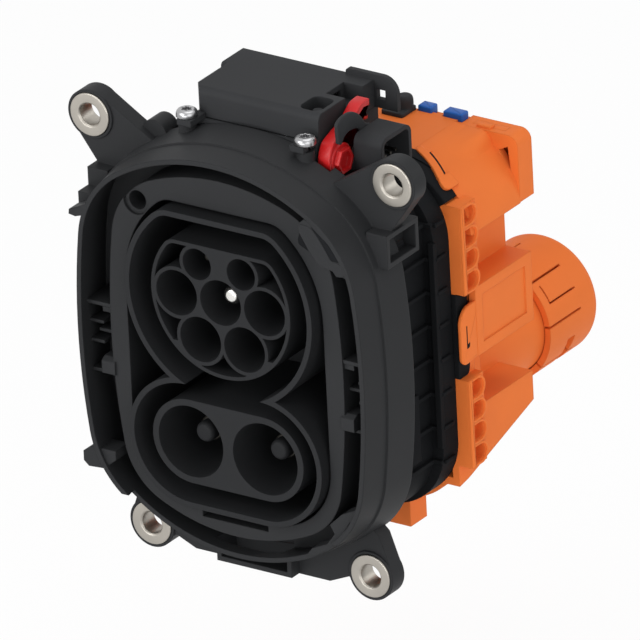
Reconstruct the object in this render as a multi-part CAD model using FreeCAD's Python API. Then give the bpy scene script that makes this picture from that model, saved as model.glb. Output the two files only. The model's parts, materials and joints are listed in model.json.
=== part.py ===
import FreeCAD, Part
import math
import os

Vector = FreeCAD.Vector

# Vehicle charging inlet. Millimetres.
# Origin: axis of the protective earth contact, on the front face of the contact carriers.
# +Y points into the vehicle, +Z up, and the plug comes from -Y.

# Contact pattern
AC_PITCH = 16.0
SMALL_CONTACT_RADIUS = 13.68
SMALL_CONTACT_ANGLE = 54.1
DC_HALF_PITCH = 13.55
DC_DROP = 49.05
POWER_HOLE_R = 7.4
SIGNAL_HOLE_R = 5.12
DC_HOLE_R = 11.75
PE_PIN_R = 3.0
SIGNAL_PIN_R = 1.5
DC_PIN_R = 4.0
PE_TIP_Y = 5.0
CP_TIP_Y = 5.6
PP_TIP_Y = 9.5
DC_TIP_Y = 6.9
DC_TIP_R = 2.9
DC_CAP_R = 3.3
DC_CAP_LENGTH = 4.0
DC_STUD_R = 2.0
PIN_CLEARANCE = 0.1
PIN_ROOT_GROW = 0.6

# Carriers and collar
CARRIER_R = 25.3
CARRIER_TOP_Z = 17.6
CARRIER_CORNER_R = 5.0
CARRIER_WALL = 1.2
POCKET_DEPTH_AC = 14.0
DC_CARRIER_R = 13.9
COLLAR_GAP_AC = 7.0
COLLAR_GAP_DC = 5.8
COLLAR_TOP_GAP = 8.2
COLLAR_WALL = 1.8
COLLAR_FRONT_Y = -1.5
FLOOR_Y = 38.5
FLOOR_THICK = 4.0
EMPTY_HOLE_DEPTH = 28.0
DC_HOLE_DEPTH = 32.0

# Drum of the flange housing
DRUM_TOP_Z = 46.6
DRUM_BOTTOM_Z = -85.6
DRUM_HALF_WIDTH = 52.2
DRUM_WAIST_Z = -18.0
DRUM_TOP_R = 66.0
DRUM_SIDE_R = 250.0
DRUM_BOTTOM_R = 62.0
DRUM_TOP_CORNER_R = 32.0
DRUM_BOTTOM_CORNER_R = 30.0
RIM_WALL = 1.6
RIM_FRONT_Y = -1.5
RIM_LOW_FRONT_Y = 2.5
CREASE_Y = 8.5
CREASE_GROW = 1.2
CREASE_STEP = 0.5
DRUM_REAR_Y = 21.0
DRUM_REAR_GROW = 3.0
DRAIN_HALF_WIDTH = 13.65
DRAIN_DROP = 7.5
WEB_FRONT_Y = 15.0
WEB_THICK = 3.0

# Inner frame
CHANNEL_TOP = 7.2
CHANNEL_SIDE = 9.8
CHANNEL_BOTTOM = 7.0
FRAME_TOP_Z = DRUM_TOP_Z - CHANNEL_TOP
FRAME_BOTTOM_Z = DRUM_BOTTOM_Z + CHANNEL_BOTTOM
FRAME_HALF_WIDTH = DRUM_HALF_WIDTH - CHANNEL_SIDE
FRAME_FRONT_Y = 2.0
FRAME_GAP = 1.8
FRAME_BOTTOM_GAP = 0.9
FRAME_SLIT_DEPTH = 3.0
FRAME_SLIT_HALF = 12.0
WELL_WALL = 1.8

# Mounting ears
UPPER_MOUNT_SPACING = 110.0
LOWER_MOUNT_SPACING = 80.0
UPPER_MOUNT_Z = 44.9
MOUNT_HEIGHT = 133.0
EAR_BOSS_R = 8.0
EAR_FRONT_Y = 14.7
SLEEVE_FLANGE_R = 7.0
SLEEVE_FLANGE_THICK = 1.0
SLEEVE_R = 5.0
SLEEVE_BORE_R = 3.55
SLEEVE_MOUTH_R = 4.1
SLEEVE_FIT = 0.02

# Rear frame and rear cover
REAR_FRAME_SETBACK = 6.1
REAR_FRAME_DROP = 12.6
REAR_FRAME_RISE = 8.6
REAR_FRAME_HALF_WIDTH = DRUM_HALF_WIDTH - REAR_FRAME_SETBACK
REAR_FRAME_TOP_Z = DRUM_TOP_Z - REAR_FRAME_DROP
REAR_FRAME_BOTTOM_Z = DRUM_BOTTOM_Z + REAR_FRAME_RISE
REAR_FRAME_CORNER_R = 20.0
REAR_WALL = 2.4
STEP_HALF_WIDTH = REAR_FRAME_HALF_WIDTH + 4.5
STEP_Y = 41.5
RIB_PITCH = 11.2
RIB_THICK = 1.2
RIB_HEIGHT = 1.3
COVER_FRONT_Y = 49.5
COVER_LIP = 1.2
COVER_WALL = 2.4
COVER_HALF_WIDTH = STEP_HALF_WIDTH + 4.1
COVER_CORNER_R = 24.0
BAND_REAR_Y = 58.0
CROWN_HALF_WIDTH = 31.7
CROWN_LOW_Z = REAR_FRAME_TOP_Z - 22.3
CROWN_REAR_Y = 82.5
COVER_REAR_Y = 86.6
COVER_BOX_REAR_Y = 90.0
NECK_HALF_WIDTH = REAR_FRAME_HALF_WIDTH - 0.5
NECK_LOW_REAR_Y = 70.0
SIDE_BOX_TOP_Z = -5.9
SIDE_BOX_LOW_Z = -28.5
INSET_DEPTH = 0.5
BAR_WIDTH = 5.1
BAR_DEPTH = 8.6
POCKET_PITCH = 7.3
POCKET_R = 2.7
LOCK_TAB_Y0 = 84.0
LOCK_TAB_Y1 = 88.0
LOCK_TAB_Z0 = REAR_FRAME_TOP_Z - 1.4
LOCK_TAB_Z1 = REAR_FRAME_TOP_Z + 1.8

# Cable glands
GLAND_HALF_SPACING = 21.0
GLAND_TUBE_R = 16.9
GLAND_TUBE_BORE_R = 13.0
GLAND_TUBE_END_Y = 134.0
GLAND_CAP_R = 19.3
GLAND_CAP_FRONT_Y = 116.0
GLAND_CAP_REAR_Y = 144.0
GLAND_CAP_GAP = 0.3
GLAND_SLOTS = 8
GLAND_SLOT_ANGLE = 6.6
CABLE_BORE_R = 11.5
SEAL_R = 15.2
SEAL_LENGTH = 12.0

# Contacts behind the floor
SHOULDER_THICK = 2.5
RETAINER_THICK = 6.0
DC_BARREL_R = 7.7
DC_BARREL_END_Y = 76.0
PE_BARREL_R = 4.6
PE_BARREL_END_Y = 66.0
SIGNAL_BARREL_R = 2.6
SIGNAL_BARREL_END_Y = 60.0

# Lock actuator
SHAFT_Y = 26.5
SHAFT_Z = REAR_FRAME_TOP_Z + 9.0
SHAFT_R = 2.2
CRANK_ARM = 8.0
CRANK_HALF_SWING = 25.0
CRANK_PIN_R = 1.5
LOCK_PIN_R = 3.0
ACTUATOR_HALF_WIDTH = 23.0
ACTUATOR_FRONT_Y = 21.3
ACTUATOR_REAR_Y = 55.0
ACTUATOR_FLOOR_Z = REAR_FRAME_TOP_Z + 0.3
ACTUATOR_SPLIT_Z = SHAFT_Z + 5.6
ACTUATOR_TOP_Z = SHAFT_Z + 14.6
ACTUATOR_WALL = 1.8
MOTOR_R = 5.5
MOTOR_X = 9.0
MOTOR_Z = SHAFT_Z + 6.0
WORM_R = 2.4
WHEEL_R = 4.3
RUNNING_GAP = 0.06
LEVER_X0 = 24.0
LEVER_X1 = 28.4
LEVER_HUB_R = 6.2
LEVER_RING_R = 5.4
LEVER_SWEEP_R = 8.1
KNOB_X = 14.2
KNOB_R = 2.7
SCREW_X = 21.5
SCREW_Y = 18.0

# Plug hood beside the actuator
HOOD_X0 = 30.8
HOOD_X1 = 41.0
HOOD_Y0 = 30.0
HOOD_Y1 = 46.0
HOOD_Z0 = ACTUATOR_FLOOR_Z + 2.2
HOOD_Z1 = ACTUATOR_FLOOR_Z + 16.1
BLADE_Z = ACTUATOR_FLOOR_Z + 7.7

# Shared clearances
FACE_GAP = 0.3


def mirror_x(shape):
    """The same solid on the other side of the plane X = 0."""
    return shape.mirror(Vector(0, 0, 0), Vector(1, 0, 0))


def both_sides(shape):
    return shape.fuse(mirror_x(shape))


def box(x0, x1, y0, y1, z0, z1):
    return Part.makeBox(x1 - x0, y1 - y0, z1 - z0, Vector(x0, y0, z0))


def rod_y(radius, y0, y1, x=0.0, z=0.0):
    return Part.makeCylinder(radius, y1 - y0, Vector(x, y0, z), Vector(0, 1, 0))


def rod_x(radius, x0, x1, y, z):
    return Part.makeCylinder(radius, x1 - x0, Vector(x0, y, z), Vector(1, 0, 0))


def rod_z(radius, z0, z1, x, y):
    return Part.makeCylinder(radius, z1 - z0, Vector(x, y, z0), Vector(0, 0, 1))


def cone_y(r0, r1, y0, y1, x=0.0, z=0.0):
    return Part.makeCone(r0, r1, y1 - y0, Vector(x, y0, z), Vector(0, 1, 0))


def one_solid(shape):
    """Clean seams, and give the single solid of a shape."""
    clean = shape.removeSplitter()
    if len(clean.Solids) == 1:
        return clean.Solids[0]
    return clean


def fuse_all(shapes):
    return shapes[0].multiFuse(shapes[1:]) if len(shapes) > 1 else shapes[0]


def round_corner(before, corner, after, radius):
    """Start, middle and end of the arc that rounds one corner of an outline."""
    a = (before - corner).normalize()
    b = (after - corner).normalize()
    half = a.getAngle(b) / 2.0
    reach = radius / math.tan(half)
    centre = corner + (a + b).normalize() * (radius / math.sin(half))
    start = corner + a * reach
    end = corner + b * reach
    middle = centre + (corner - centre).normalize() * radius
    return start, middle, end


def rounded_wire(points, radius):
    """Closed wire through 3-D points, with each corner rounded; radius is one value or one per point."""
    count = len(points)
    radii = radius if isinstance(radius, (list, tuple)) else [radius] * count
    arcs = []
    for i in range(count):
        if radii[i] > 0:
            arcs.append(round_corner(points[i - 1], points[i], points[(i + 1) % count], radii[i]))
        else:
            arcs.append((points[i], None, points[i]))
    edges = []
    for i in range(count):
        start, middle, end = arcs[i]
        if middle is not None:
            edges.append(Part.Arc(start, middle, end).toShape())
        following = arcs[(i + 1) % count][0]
        if (following - end).Length > 1e-6:
            edges.append(Part.LineSegment(end, following).toShape())
    return Part.Wire(edges)


def extrude_wire(wire, direction):
    return Part.Face(wire).extrude(direction)


def plate_y(points, y0, y1, radius=0.0):
    """Plate with its outline given as (x, z), between two values of Y."""
    wire = rounded_wire([Vector(x, y0, z) for x, z in points], radius)
    return extrude_wire(wire, Vector(0, y1 - y0, 0))


def plate_x(points, x0, x1, radius=0.0):
    """Plate with its outline given as (y, z), between two values of X."""
    wire = rounded_wire([Vector(x0, y, z) for y, z in points], radius)
    return extrude_wire(wire, Vector(x1 - x0, 0, 0))


def plate_z(points, z0, z1, radius=0.0):
    """Plate with its outline given as (x, y), between two values of Z."""
    wire = rounded_wire([Vector(x, y, z0) for x, y in points], radius)
    return extrude_wire(wire, Vector(0, 0, z1 - z0))


def tangent_centre(c1, r1, c2, r2, radius, side):
    """Centre of a corner arc that lies inside two larger arcs; side is +1 above, -1 below."""
    a = r1 - radius
    b = r2 - radius
    between = c2 - c1
    gap = between.Length
    along = (a * a - b * b + gap * gap) / (2.0 * gap)
    across = math.sqrt(max(a * a - along * along, 0.0))
    unit = between * (1.0 / gap)
    normal = Vector(-unit.z, 0, unit.x)
    first = c1 + unit * along + normal * across
    second = c1 + unit * along - normal * across
    return first if (first.x * 1.0 + first.z * side) > (second.x + second.z * side) else second


def oval_wire(spec, grow, y):
    """Outline of eight tangent arcs: crown, two sides, base and four corners."""
    top_z, bottom_z, half_width, waist_z, r_top, r_side, r_base, r_c1, r_c2 = spec
    c_top = Vector(0, 0, top_z - r_top)
    c_side = Vector(half_width - r_side, 0, waist_z)
    c_base = Vector(0, 0, bottom_z + r_base)
    c_upper = tangent_centre(c_top, r_top, c_side, r_side, r_c1, 1)
    c_lower = tangent_centre(c_base, r_base, c_side, r_side, r_c2, -1)

    def touch(centre, corner, radius):
        """Point where a large arc meets a corner arc."""
        return centre + (corner - centre).normalize() * (radius + grow)

    p1 = touch(c_top, c_upper, r_top)
    p2 = touch(c_side, c_upper, r_side)
    p3 = touch(c_side, c_lower, r_side)
    p4 = touch(c_base, c_lower, r_base)

    def between(centre, radius, a, b):
        middle = ((a - centre).normalize() + (b - centre).normalize()).normalize()
        return centre + middle * (radius + grow)

    m_upper = between(c_upper, r_c1, p1, p2)
    m_side = between(c_side, r_side, p2, p3)
    m_lower = between(c_lower, r_c2, p3, p4)
    crown = Vector(0, 0, top_z + grow)
    base = Vector(0, 0, bottom_z - grow)

    def flip(point):
        return Vector(-point.x, point.y, point.z)

    stations = [
        (flip(p1), crown, p1),
        (p1, m_upper, p2),
        (p2, m_side, p3),
        (p3, m_lower, p4),
        (p4, base, flip(p4)),
        (flip(p4), flip(m_lower), flip(p3)),
        (flip(p3), flip(m_side), flip(p2)),
        (flip(p2), flip(m_upper), flip(p1)),
    ]
    lift = Vector(0, y, 0)
    return Part.Wire([Part.Arc(a + lift, m + lift, b + lift).toShape() for a, m, b in stations])


def oval_plate(spec, grow, y0, y1):
    return extrude_wire(oval_wire(spec, grow, y0), Vector(0, y1 - y0, 0))


DRUM = (
    DRUM_TOP_Z, DRUM_BOTTOM_Z, DRUM_HALF_WIDTH, DRUM_WAIST_Z,
    DRUM_TOP_R, DRUM_SIDE_R, DRUM_BOTTOM_R, DRUM_TOP_CORNER_R, DRUM_BOTTOM_CORNER_R,
)
FRAME = (
    FRAME_TOP_Z, FRAME_BOTTOM_Z, FRAME_HALF_WIDTH, DRUM_WAIST_Z,
    DRUM_TOP_R, DRUM_SIDE_R, DRUM_BOTTOM_R, DRUM_TOP_CORNER_R - 7.0, DRUM_BOTTOM_CORNER_R - 8.0,
)


def clipped_disc(radius, top_z, corner, y0, y1):
    """Disc along Y whose top is cut flat, with rounded corners."""
    disc = rod_y(radius, y0, y1)
    cutter = box(-radius - 1, radius + 1, y0 - 1, y1 + 1, top_z, radius + 1)
    flat = disc.cut(cutter)
    edges = []
    for edge in flat.Edges:
        a = edge.Vertexes[0].Point
        b = edge.Vertexes[-1].Point
        level = abs(a.z - top_z) < 1e-4 and abs(b.z - top_z) < 1e-4
        if level and abs(a.x - b.x) < 1e-4 and abs(a.y - b.y) > 1.0:
            edges.append(edge)
    return flat.makeFillet(corner, edges)


def stadium(half_pitch, z, radius, y0, y1):
    """Two rods side by side along Y, joined by a block."""
    middle = box(-half_pitch, half_pitch, y0, y1, z - radius, z + radius)
    rods = [rod_y(radius, y0, y1, side * half_pitch, z) for side in (-1, 1)]
    return fuse_all([middle] + rods)


def collar_form(grow, y0, y1):
    """Solid of the collar's inner form, a disc with a flat top above a stadium, grown outwards."""
    radius = CARRIER_R + COLLAR_GAP_AC + grow
    top = CARRIER_TOP_Z + COLLAR_TOP_GAP + grow
    disc = clipped_disc(radius, top, CARRIER_CORNER_R + 2.0 + grow, y0, y1)
    low = stadium(DC_HALF_PITCH, -DC_DROP, DC_CARRIER_R + COLLAR_GAP_DC + grow, y0, y1)
    return disc.fuse(low).removeSplitter()


def well_form(grow, y0, y1):
    """Form of the well around the collar: round above, straight at the sides, round below."""
    clear = COLLAR_WALL + FRAME_GAP + grow
    radius = CARRIER_R + COLLAR_GAP_AC + clear
    top = CARRIER_TOP_Z + COLLAR_TOP_GAP + clear
    disc = clipped_disc(radius, top, CARRIER_CORNER_R + 4.0, y0, y1)
    low_r = DC_CARRIER_R + COLLAR_GAP_DC + COLLAR_WALL + FRAME_BOTTOM_GAP + grow
    low = stadium(DC_HALF_PITCH, -DC_DROP, low_r, y0, y1)
    side = DC_HALF_PITCH + low_r
    middle = box(-side, side, y0, y1, -DC_DROP, 0.0)
    return fuse_all([disc, low, middle]).removeSplitter()


def frame_opening(y0, y1):
    """Opening of the inner frame: the well's form with a slit below."""
    low = DC_DROP + DC_CARRIER_R + COLLAR_GAP_DC + COLLAR_WALL + FRAME_BOTTOM_GAP + FRAME_SLIT_DEPTH
    slit = box(-FRAME_SLIT_HALF, FRAME_SLIT_HALF, y0, y1, -low, -DC_DROP)
    return well_form(0.0, y0, y1).fuse(slit)


def ac_holes():
    """Places (x, z, kind) of the seven holes of the alternating-current part."""
    angle = math.radians(SMALL_CONTACT_ANGLE)
    small_x = SMALL_CONTACT_RADIUS * math.cos(angle)
    small_z = SMALL_CONTACT_RADIUS * math.sin(angle)
    low_z = -AC_PITCH * math.sin(math.radians(60))
    return [
        (0.0, 0.0, "pe"),
        (-small_x, small_z, "cp"),
        (small_x, small_z, "pp"),
        (-AC_PITCH, 0.0, "empty"),
        (AC_PITCH, 0.0, "empty"),
        (-AC_PITCH / 2, low_z, "empty"),
        (AC_PITCH / 2, low_z, "empty"),
    ]


def drum_loft(shift, step):
    """Flared drum as a solid: two straight slopes with a small step between them."""
    front = Part.makeLoft(
        [oval_wire(DRUM, shift, RIM_FRONT_Y), oval_wire(DRUM, CREASE_GROW + shift, CREASE_Y)], True, True)
    rear = Part.makeLoft(
        [oval_wire(DRUM, CREASE_GROW + shift + step, CREASE_Y),
         oval_wire(DRUM, DRUM_REAR_GROW + shift, DRUM_REAR_Y)], True, True)
    return front.fuse(rear)


def drum_hollow():
    """Inside of the drum, run past both ends."""
    core = drum_loft(-RIM_WALL, 0.0)
    front = oval_plate(DRUM, -RIM_WALL, RIM_FRONT_Y - 2.0, RIM_FRONT_Y)
    rear = oval_plate(DRUM, DRUM_REAR_GROW - RIM_WALL, DRUM_REAR_Y, DRUM_REAR_Y + 8.0)
    return fuse_all([front, core, rear])


def drum_wall():
    wall = drum_loft(0.0, CREASE_STEP).cut(drum_hollow())
    low_z = DRUM_BOTTOM_Z + 14.0
    set_back = box(-40, 40, RIM_FRONT_Y - 2, RIM_LOW_FRONT_Y, DRUM_BOTTOM_Z - 5, low_z)
    notch_form = [(-60.0, -66.8), (-46.0, -66.8), (-35.5, -74.5), (-44.0, -90.0), (-60.0, -90.0)]
    notch = plate_y(notch_form, RIM_FRONT_Y - 2, RIM_LOW_FRONT_Y + 1.5)
    return wall.cut(set_back).cut(notch)


def ear_upper():
    """Upper right ear: boss and triangular web, to be cut by the drum's inside."""
    x = UPPER_MOUNT_SPACING / 2
    z = UPPER_MOUNT_Z
    web = plate_y(
        [
            (x - 3.2, z + 7.3), (x - 23.7, z - 5.4), (x - 27.0, z - 12.0), (x - 12.0, z - 27.0),
            (x - 5.4, z - 21.0), (x - 1.4, z - 15.4), (x + 6.6, z - 4.4),
        ],
        EAR_FRONT_Y + 0.6, DRUM_REAR_Y,
    )
    return web.fuse(rod_y(EAR_BOSS_R, EAR_FRONT_Y, DRUM_REAR_Y, x, z))


def ear_lower():
    """Lower right ear with the stretch of bottom plate beside it."""
    x = LOWER_MOUNT_SPACING / 2
    z = UPPER_MOUNT_Z - MOUNT_HEIGHT
    web = plate_y(
        [
            (10.0, z + 10.0), (10.0, z - 5.4), (x - 15.5, z - 5.4), (x - 8.4, z - 2.3),
            (x - 4.0, z - 6.0), (x + 6.0, z - 4.0), (x + 7.9, z + 1.0), (x + 3.4, z + 13.4),
            (x - 6.0, z + 22.0),
        ],
        EAR_FRONT_Y + 0.6, DRUM_REAR_Y,
    )
    return web.fuse(rod_y(EAR_BOSS_R, EAR_FRONT_Y, DRUM_REAR_Y, x, z))


def side_bracket():
    """Tray on the right flank under the upper ear, open to the side."""
    x1 = DRUM_HALF_WIDTH + 2.2
    y1 = DRUM_REAR_Y + 7.0
    outer = box(x1 - 7.4, x1, 11.0, y1, 18.2, 29.2)
    inner = box(x1 - 4.8, x1 + 1.6, 12.6, y1 - 1.6, 19.8, 27.6)
    return outer.cut(inner)


def flank_shelves():
    """Shelves, staggered blades and a latch block in the channel beside the inner frame."""
    rear = WEB_FRONT_Y + 0.5
    side = FRAME_HALF_WIDTH
    pieces = [
        box(side - 1.5, side + 9.0, 2.4, rear, -11.8, -10.6),
        box(side - 1.0, side + 3.4, 3.0, rear, -13.8, -11.0),
        box(side + 4.0, side + 9.0, 4.0, rear, -18.6, -17.6),
        box(side - 1.0, side + 6.4, 5.0, rear, -21.7, -20.7),
        box(side + 4.0, side + 9.0, 4.0, rear, -25.2, -24.2),
        box(side - 1.5, side + 9.0, 3.4, rear, -34.6, -33.5),
    ]
    slope = [(1.2, -29.6), (3.0, -28.4), (rear, -28.4), (rear, -33.6), (1.2, -33.6)]
    latch = plate_x(slope, side - 1.2, side + 3.6)
    return fuse_all(pieces + [latch])


def drain_box():
    """Box of the drain under the drum and the room inside it."""
    low = DRUM_BOTTOM_Z - DRAIN_DROP
    high = DRUM_BOTTOM_Z + 1.6
    wall = 1.6
    outer = box(-DRAIN_HALF_WIDTH, DRAIN_HALF_WIDTH, 10.7, DRUM_REAR_Y, low, high)
    half = DRAIN_HALF_WIDTH - wall
    inner = box(-half, half, 8.0, DRUM_REAR_Y - 1.8, low + wall, high + 4.0)
    return outer, inner


def rim_clips():
    """Hooks outside the drum, the lower left nub, the upper right arm and the lower right lip."""
    hook_form = [(-45.5, 20.2), (-51.0, 18.4), (-53.4, 18.8), (-53.2, 20.4), (-49.6, 22.0), (-45.5, 24.0)]
    hook = plate_y(hook_form, RIM_FRONT_Y, 3.4)
    left_box = box(-54.2, -48.0, 5.2, 11.2, 18.8, 23.4)
    nub_form = [
        (-53.4, -63.8), (-53.4, -60.6), (-50.6, -58.6), (-41.5, -58.4),
        (-41.5, -61.4), (-46.0, -65.0), (-51.6, -65.4),
    ]
    nub = plate_y(nub_form, -0.4, 7.0)
    arm_form = [
        (30.4, 33.0), (33.0, 35.4), (37.2, 33.4), (42.4, 28.6), (46.6, 22.8), (50.0, 19.6),
        (47.0, 18.6), (41.6, 20.6), (38.6, 20.4), (38.0, 24.2), (34.6, 29.8),
    ]
    arm = plate_y(arm_form, RIM_FRONT_Y + 0.3, 4.6)
    arm_web_form = [(31.0, 33.4), (33.0, 35.0), (42.0, 28.0), (48.0, 19.8), (46.8, 19.0), (40.6, 26.2)]
    arm_web = plate_y(arm_web_form, 4.0, WEB_FRONT_Y + 0.5)
    lip_form = [
        (27.4, -77.6), (29.4, -75.0), (35.0, -72.4), (38.0, -68.4), (36.4, -65.6), (41.0, -61.2),
        (46.4, -58.6), (47.4, -60.4), (43.6, -63.6), (41.6, -67.0), (39.0, -71.8), (31.4, -77.4),
    ]
    low_lip = plate_y(lip_form, -0.4, 5.0)
    return hook.fuse(left_box), nub, arm.fuse(arm_web), low_lip


def drain_nozzle():
    """Short nozzle behind the upper left of the drum."""
    return rod_y(4.4, DRUM_REAR_Y - 3.0, DRUM_REAR_Y + 4.0, -34.0, 41.8)


def lever_relief():
    """Room for the lever's hub and the swing of its arm in the rear edge of the drum."""
    return rod_x(LEVER_SWEEP_R, LEVER_X0 - 0.8, LEVER_X1 + 1.4, SHAFT_Y, SHAFT_Z)


def screw_boss():
    return rod_z(2.8, 40.0, ACTUATOR_SPLIT_Z - FACE_GAP, SCREW_X, SCREW_Y)


def flange_housing():
    hollow = drum_hollow()
    outside = [ear_upper(), ear_lower(), side_bracket(), screw_boss()]
    outside = both_sides(fuse_all(outside).cut(hollow))
    hooks, nub, arm, low_lip = rim_clips()
    inside_drum = drum_loft(-0.4, 0.0)
    opening = frame_opening(-3.0, 30.0)
    web = oval_plate(DRUM, CREASE_GROW - 0.6, WEB_FRONT_Y, WEB_FRONT_Y + WEB_THICK).cut(opening)
    frame = oval_plate(FRAME, 0.0, FRAME_FRONT_Y, WEB_FRONT_Y + 0.5).cut(opening)
    shelves = both_sides(flank_shelves()).common(inside_drum)
    box_outer, box_inner = drain_box()
    body = fuse_all([
        drum_wall(), web, frame, outside, shelves,
        hooks.cut(hollow), nub, arm.common(inside_drum), low_lip.common(inside_drum),
        drain_nozzle().cut(hollow),
        box_outer.cut(drum_hollow()),
    ])
    body = body.cut(box_inner.cut(oval_plate(DRUM, -RIM_WALL, 0.0, DRUM_REAR_Y)))
    drain_slot = box(-9.0, 9.0, 11.0, 14.0, DRUM_BOTTOM_Z - 3.0, DRUM_BOTTOM_Z + 4.0)
    holes = [drain_slot, lever_relief()]
    for x, z in mount_points():
        holes.append(rod_y(SLEEVE_R + SLEEVE_FIT, 0.0, 30.0, x, z))
        holes.append(rod_y(SLEEVE_FLANGE_R + 0.1, 5.0, EAR_FRONT_Y + 0.5, x, z))
    holes.append(rod_y(3.1, FRAME_FRONT_Y - 1, 12.0, -30.9, 26.3))
    holes.append(rod_y(4.4, FRAME_FRONT_Y - 1, FRAME_FRONT_Y + 1.2, -30.9, 26.3))
    for side in (-1, 1):
        holes.append(rod_z(1.25, 38.0, 60.0, side * SCREW_X, SCREW_Y))
        centre = side * (FRAME_HALF_WIDTH + DRUM_HALF_WIDTH - RIM_WALL) / 2
        for z in (2.0, -44.0):
            x0, x1 = centre - 2.2, centre + 2.2
            holes.append(box(x0, x1, WEB_FRONT_Y - 1, WEB_FRONT_Y + 5, z - 3.2, z + 3.2))
    return one_solid(body.cut(fuse_all(holes)))


def mount_points():
    low = UPPER_MOUNT_Z - MOUNT_HEIGHT
    return [
        (-UPPER_MOUNT_SPACING / 2, UPPER_MOUNT_Z),
        (UPPER_MOUNT_SPACING / 2, UPPER_MOUNT_Z),
        (-LOWER_MOUNT_SPACING / 2, low),
        (LOWER_MOUNT_SPACING / 2, low),
    ]


def mounting_sleeve(x, z):
    """Steel compression sleeve with a flanged face and a chamfered mouth."""
    face_y = EAR_FRONT_Y + 0.5 - SLEEVE_FLANGE_THICK
    flange = rod_y(SLEEVE_FLANGE_R, face_y, EAR_FRONT_Y + 0.5, x, z)
    tube = rod_y(SLEEVE_R, face_y, DRUM_REAR_Y, x, z)
    bore = rod_y(SLEEVE_BORE_R, face_y - 1, DRUM_REAR_Y + 1, x, z)
    mouth = cone_y(SLEEVE_MOUTH_R, SLEEVE_BORE_R, face_y, face_y + SLEEVE_MOUTH_R - SLEEVE_BORE_R, x, z)
    return one_solid(flange.fuse(tube).cut(bore).cut(mouth))


def pin_channel():
    """Hole that the locking pin runs in, through the guide and the top of the collar."""
    top = CARRIER_TOP_Z + COLLAR_TOP_GAP + COLLAR_WALL
    return rod_z(LOCK_PIN_R + RUNNING_GAP, top - 10, top + 20, 0.0, lock_pin_y())


def socket_collar():
    """Collar around both carriers, closed behind by the floor that the contacts pass through."""
    rear_y = FLOOR_Y + FLOOR_THICK
    tube = collar_form(COLLAR_WALL, COLLAR_FRONT_Y, rear_y)
    cuts = [collar_form(0.0, COLLAR_FRONT_Y - 1, FLOOR_Y), pin_channel()]
    for x, z, kind in ac_holes():
        if kind == "pe":
            cuts.append(root_hole(PE_PIN_R, FLOOR_Y - 1, rear_y + 1, x, z))
        elif kind != "empty":
            cuts.append(root_hole(SIGNAL_PIN_R, FLOOR_Y - 1, rear_y + 1, x, z))
    for side in (-1, 1):
        cuts.append(root_hole(DC_PIN_R, FLOOR_Y - 1, rear_y + 1, side * DC_HALF_PITCH, -DC_DROP))
    return one_solid(tube.cut(fuse_all(cuts)))


def socket_body():
    """Flange plate with the well around the collar and the guide of the locking pin."""
    rear_y = FLOOR_Y + FLOOR_THICK
    plate_y0 = WEB_FRONT_Y + WEB_THICK
    plate = oval_plate(DRUM, DRUM_REAR_GROW - RIM_WALL - 1.0, plate_y0, DRUM_REAR_Y)
    well = well_form(WELL_WALL, plate_y0, rear_y)
    plate = plate.fuse(well).cut(well_form(0.0, plate_y0 - 1, FLOOR_Y))
    top = CARRIER_TOP_Z + COLLAR_TOP_GAP + COLLAR_WALL
    guide = rod_z(LOCK_PIN_R + 2.2, top - 1.0, REAR_FRAME_TOP_Z - REAR_WALL - FACE_GAP, 0.0, lock_pin_y())
    drain = box(-5.0, 5.0, plate_y0 - 1, DRUM_REAR_Y + 1, DRUM_BOTTOM_Z - 2, DRUM_BOTTOM_Z + 5)
    seat = collar_form(COLLAR_WALL, plate_y0 - 1, rear_y + 1)
    return one_solid(plate.fuse(guide).cut(fuse_all([seat, pin_channel(), lever_relief(), drain])))


def lightening_pockets():
    """Pockets left between the rings round the holes and the carrier's outer wall."""
    depth = POCKET_DEPTH_AC
    wall = CARRIER_WALL
    field = clipped_disc(CARRIER_R - wall, CARRIER_TOP_Z - wall, CARRIER_CORNER_R - 1.0, -1.0, depth)
    rings = []
    for x, z, kind in ac_holes():
        radius = SIGNAL_HOLE_R if kind in ("cp", "pp") else POWER_HOLE_R
        rings.append(rod_y(radius + wall, -2.0, depth + 1.0, x, z))
    field = field.cut(fuse_all(rings))
    upper = box(-CARRIER_R, -AC_PITCH * 0.5, -1.0, depth, 2.0, CARRIER_TOP_Z)
    lower = box(-CARRIER_R, -AC_PITCH * 0.5, -1.0, depth, -AC_PITCH, -2.0)
    base = box(-AC_PITCH * 0.5, AC_PITCH * 0.5, -1.0, depth, -CARRIER_R, -AC_PITCH)
    areas = fuse_all([upper, lower, mirror_x(upper), mirror_x(lower), base])
    return [solid for solid in field.common(areas).Solids if solid.Volume > 20.0]


def ac_contact_carrier():
    body = clipped_disc(CARRIER_R, CARRIER_TOP_Z, CARRIER_CORNER_R, 0.0, FLOOR_Y)
    cuts = lightening_pockets()
    for x, z, kind in ac_holes():
        if kind == "empty":
            cuts.append(rod_y(POWER_HOLE_R, -1, EMPTY_HOLE_DEPTH, x, z))
        elif kind == "pe":
            cuts.append(rod_y(POWER_HOLE_R, -1, EMPTY_HOLE_DEPTH, x, z))
            cuts.append(root_hole(PE_PIN_R, 0, FLOOR_Y + 1, x, z))
        else:
            cuts.append(rod_y(SIGNAL_HOLE_R, -1, EMPTY_HOLE_DEPTH, x, z))
            cuts.append(root_hole(SIGNAL_PIN_R, 0, FLOOR_Y + 1, x, z))
    return one_solid(body.cut(fuse_all(cuts)))


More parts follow.
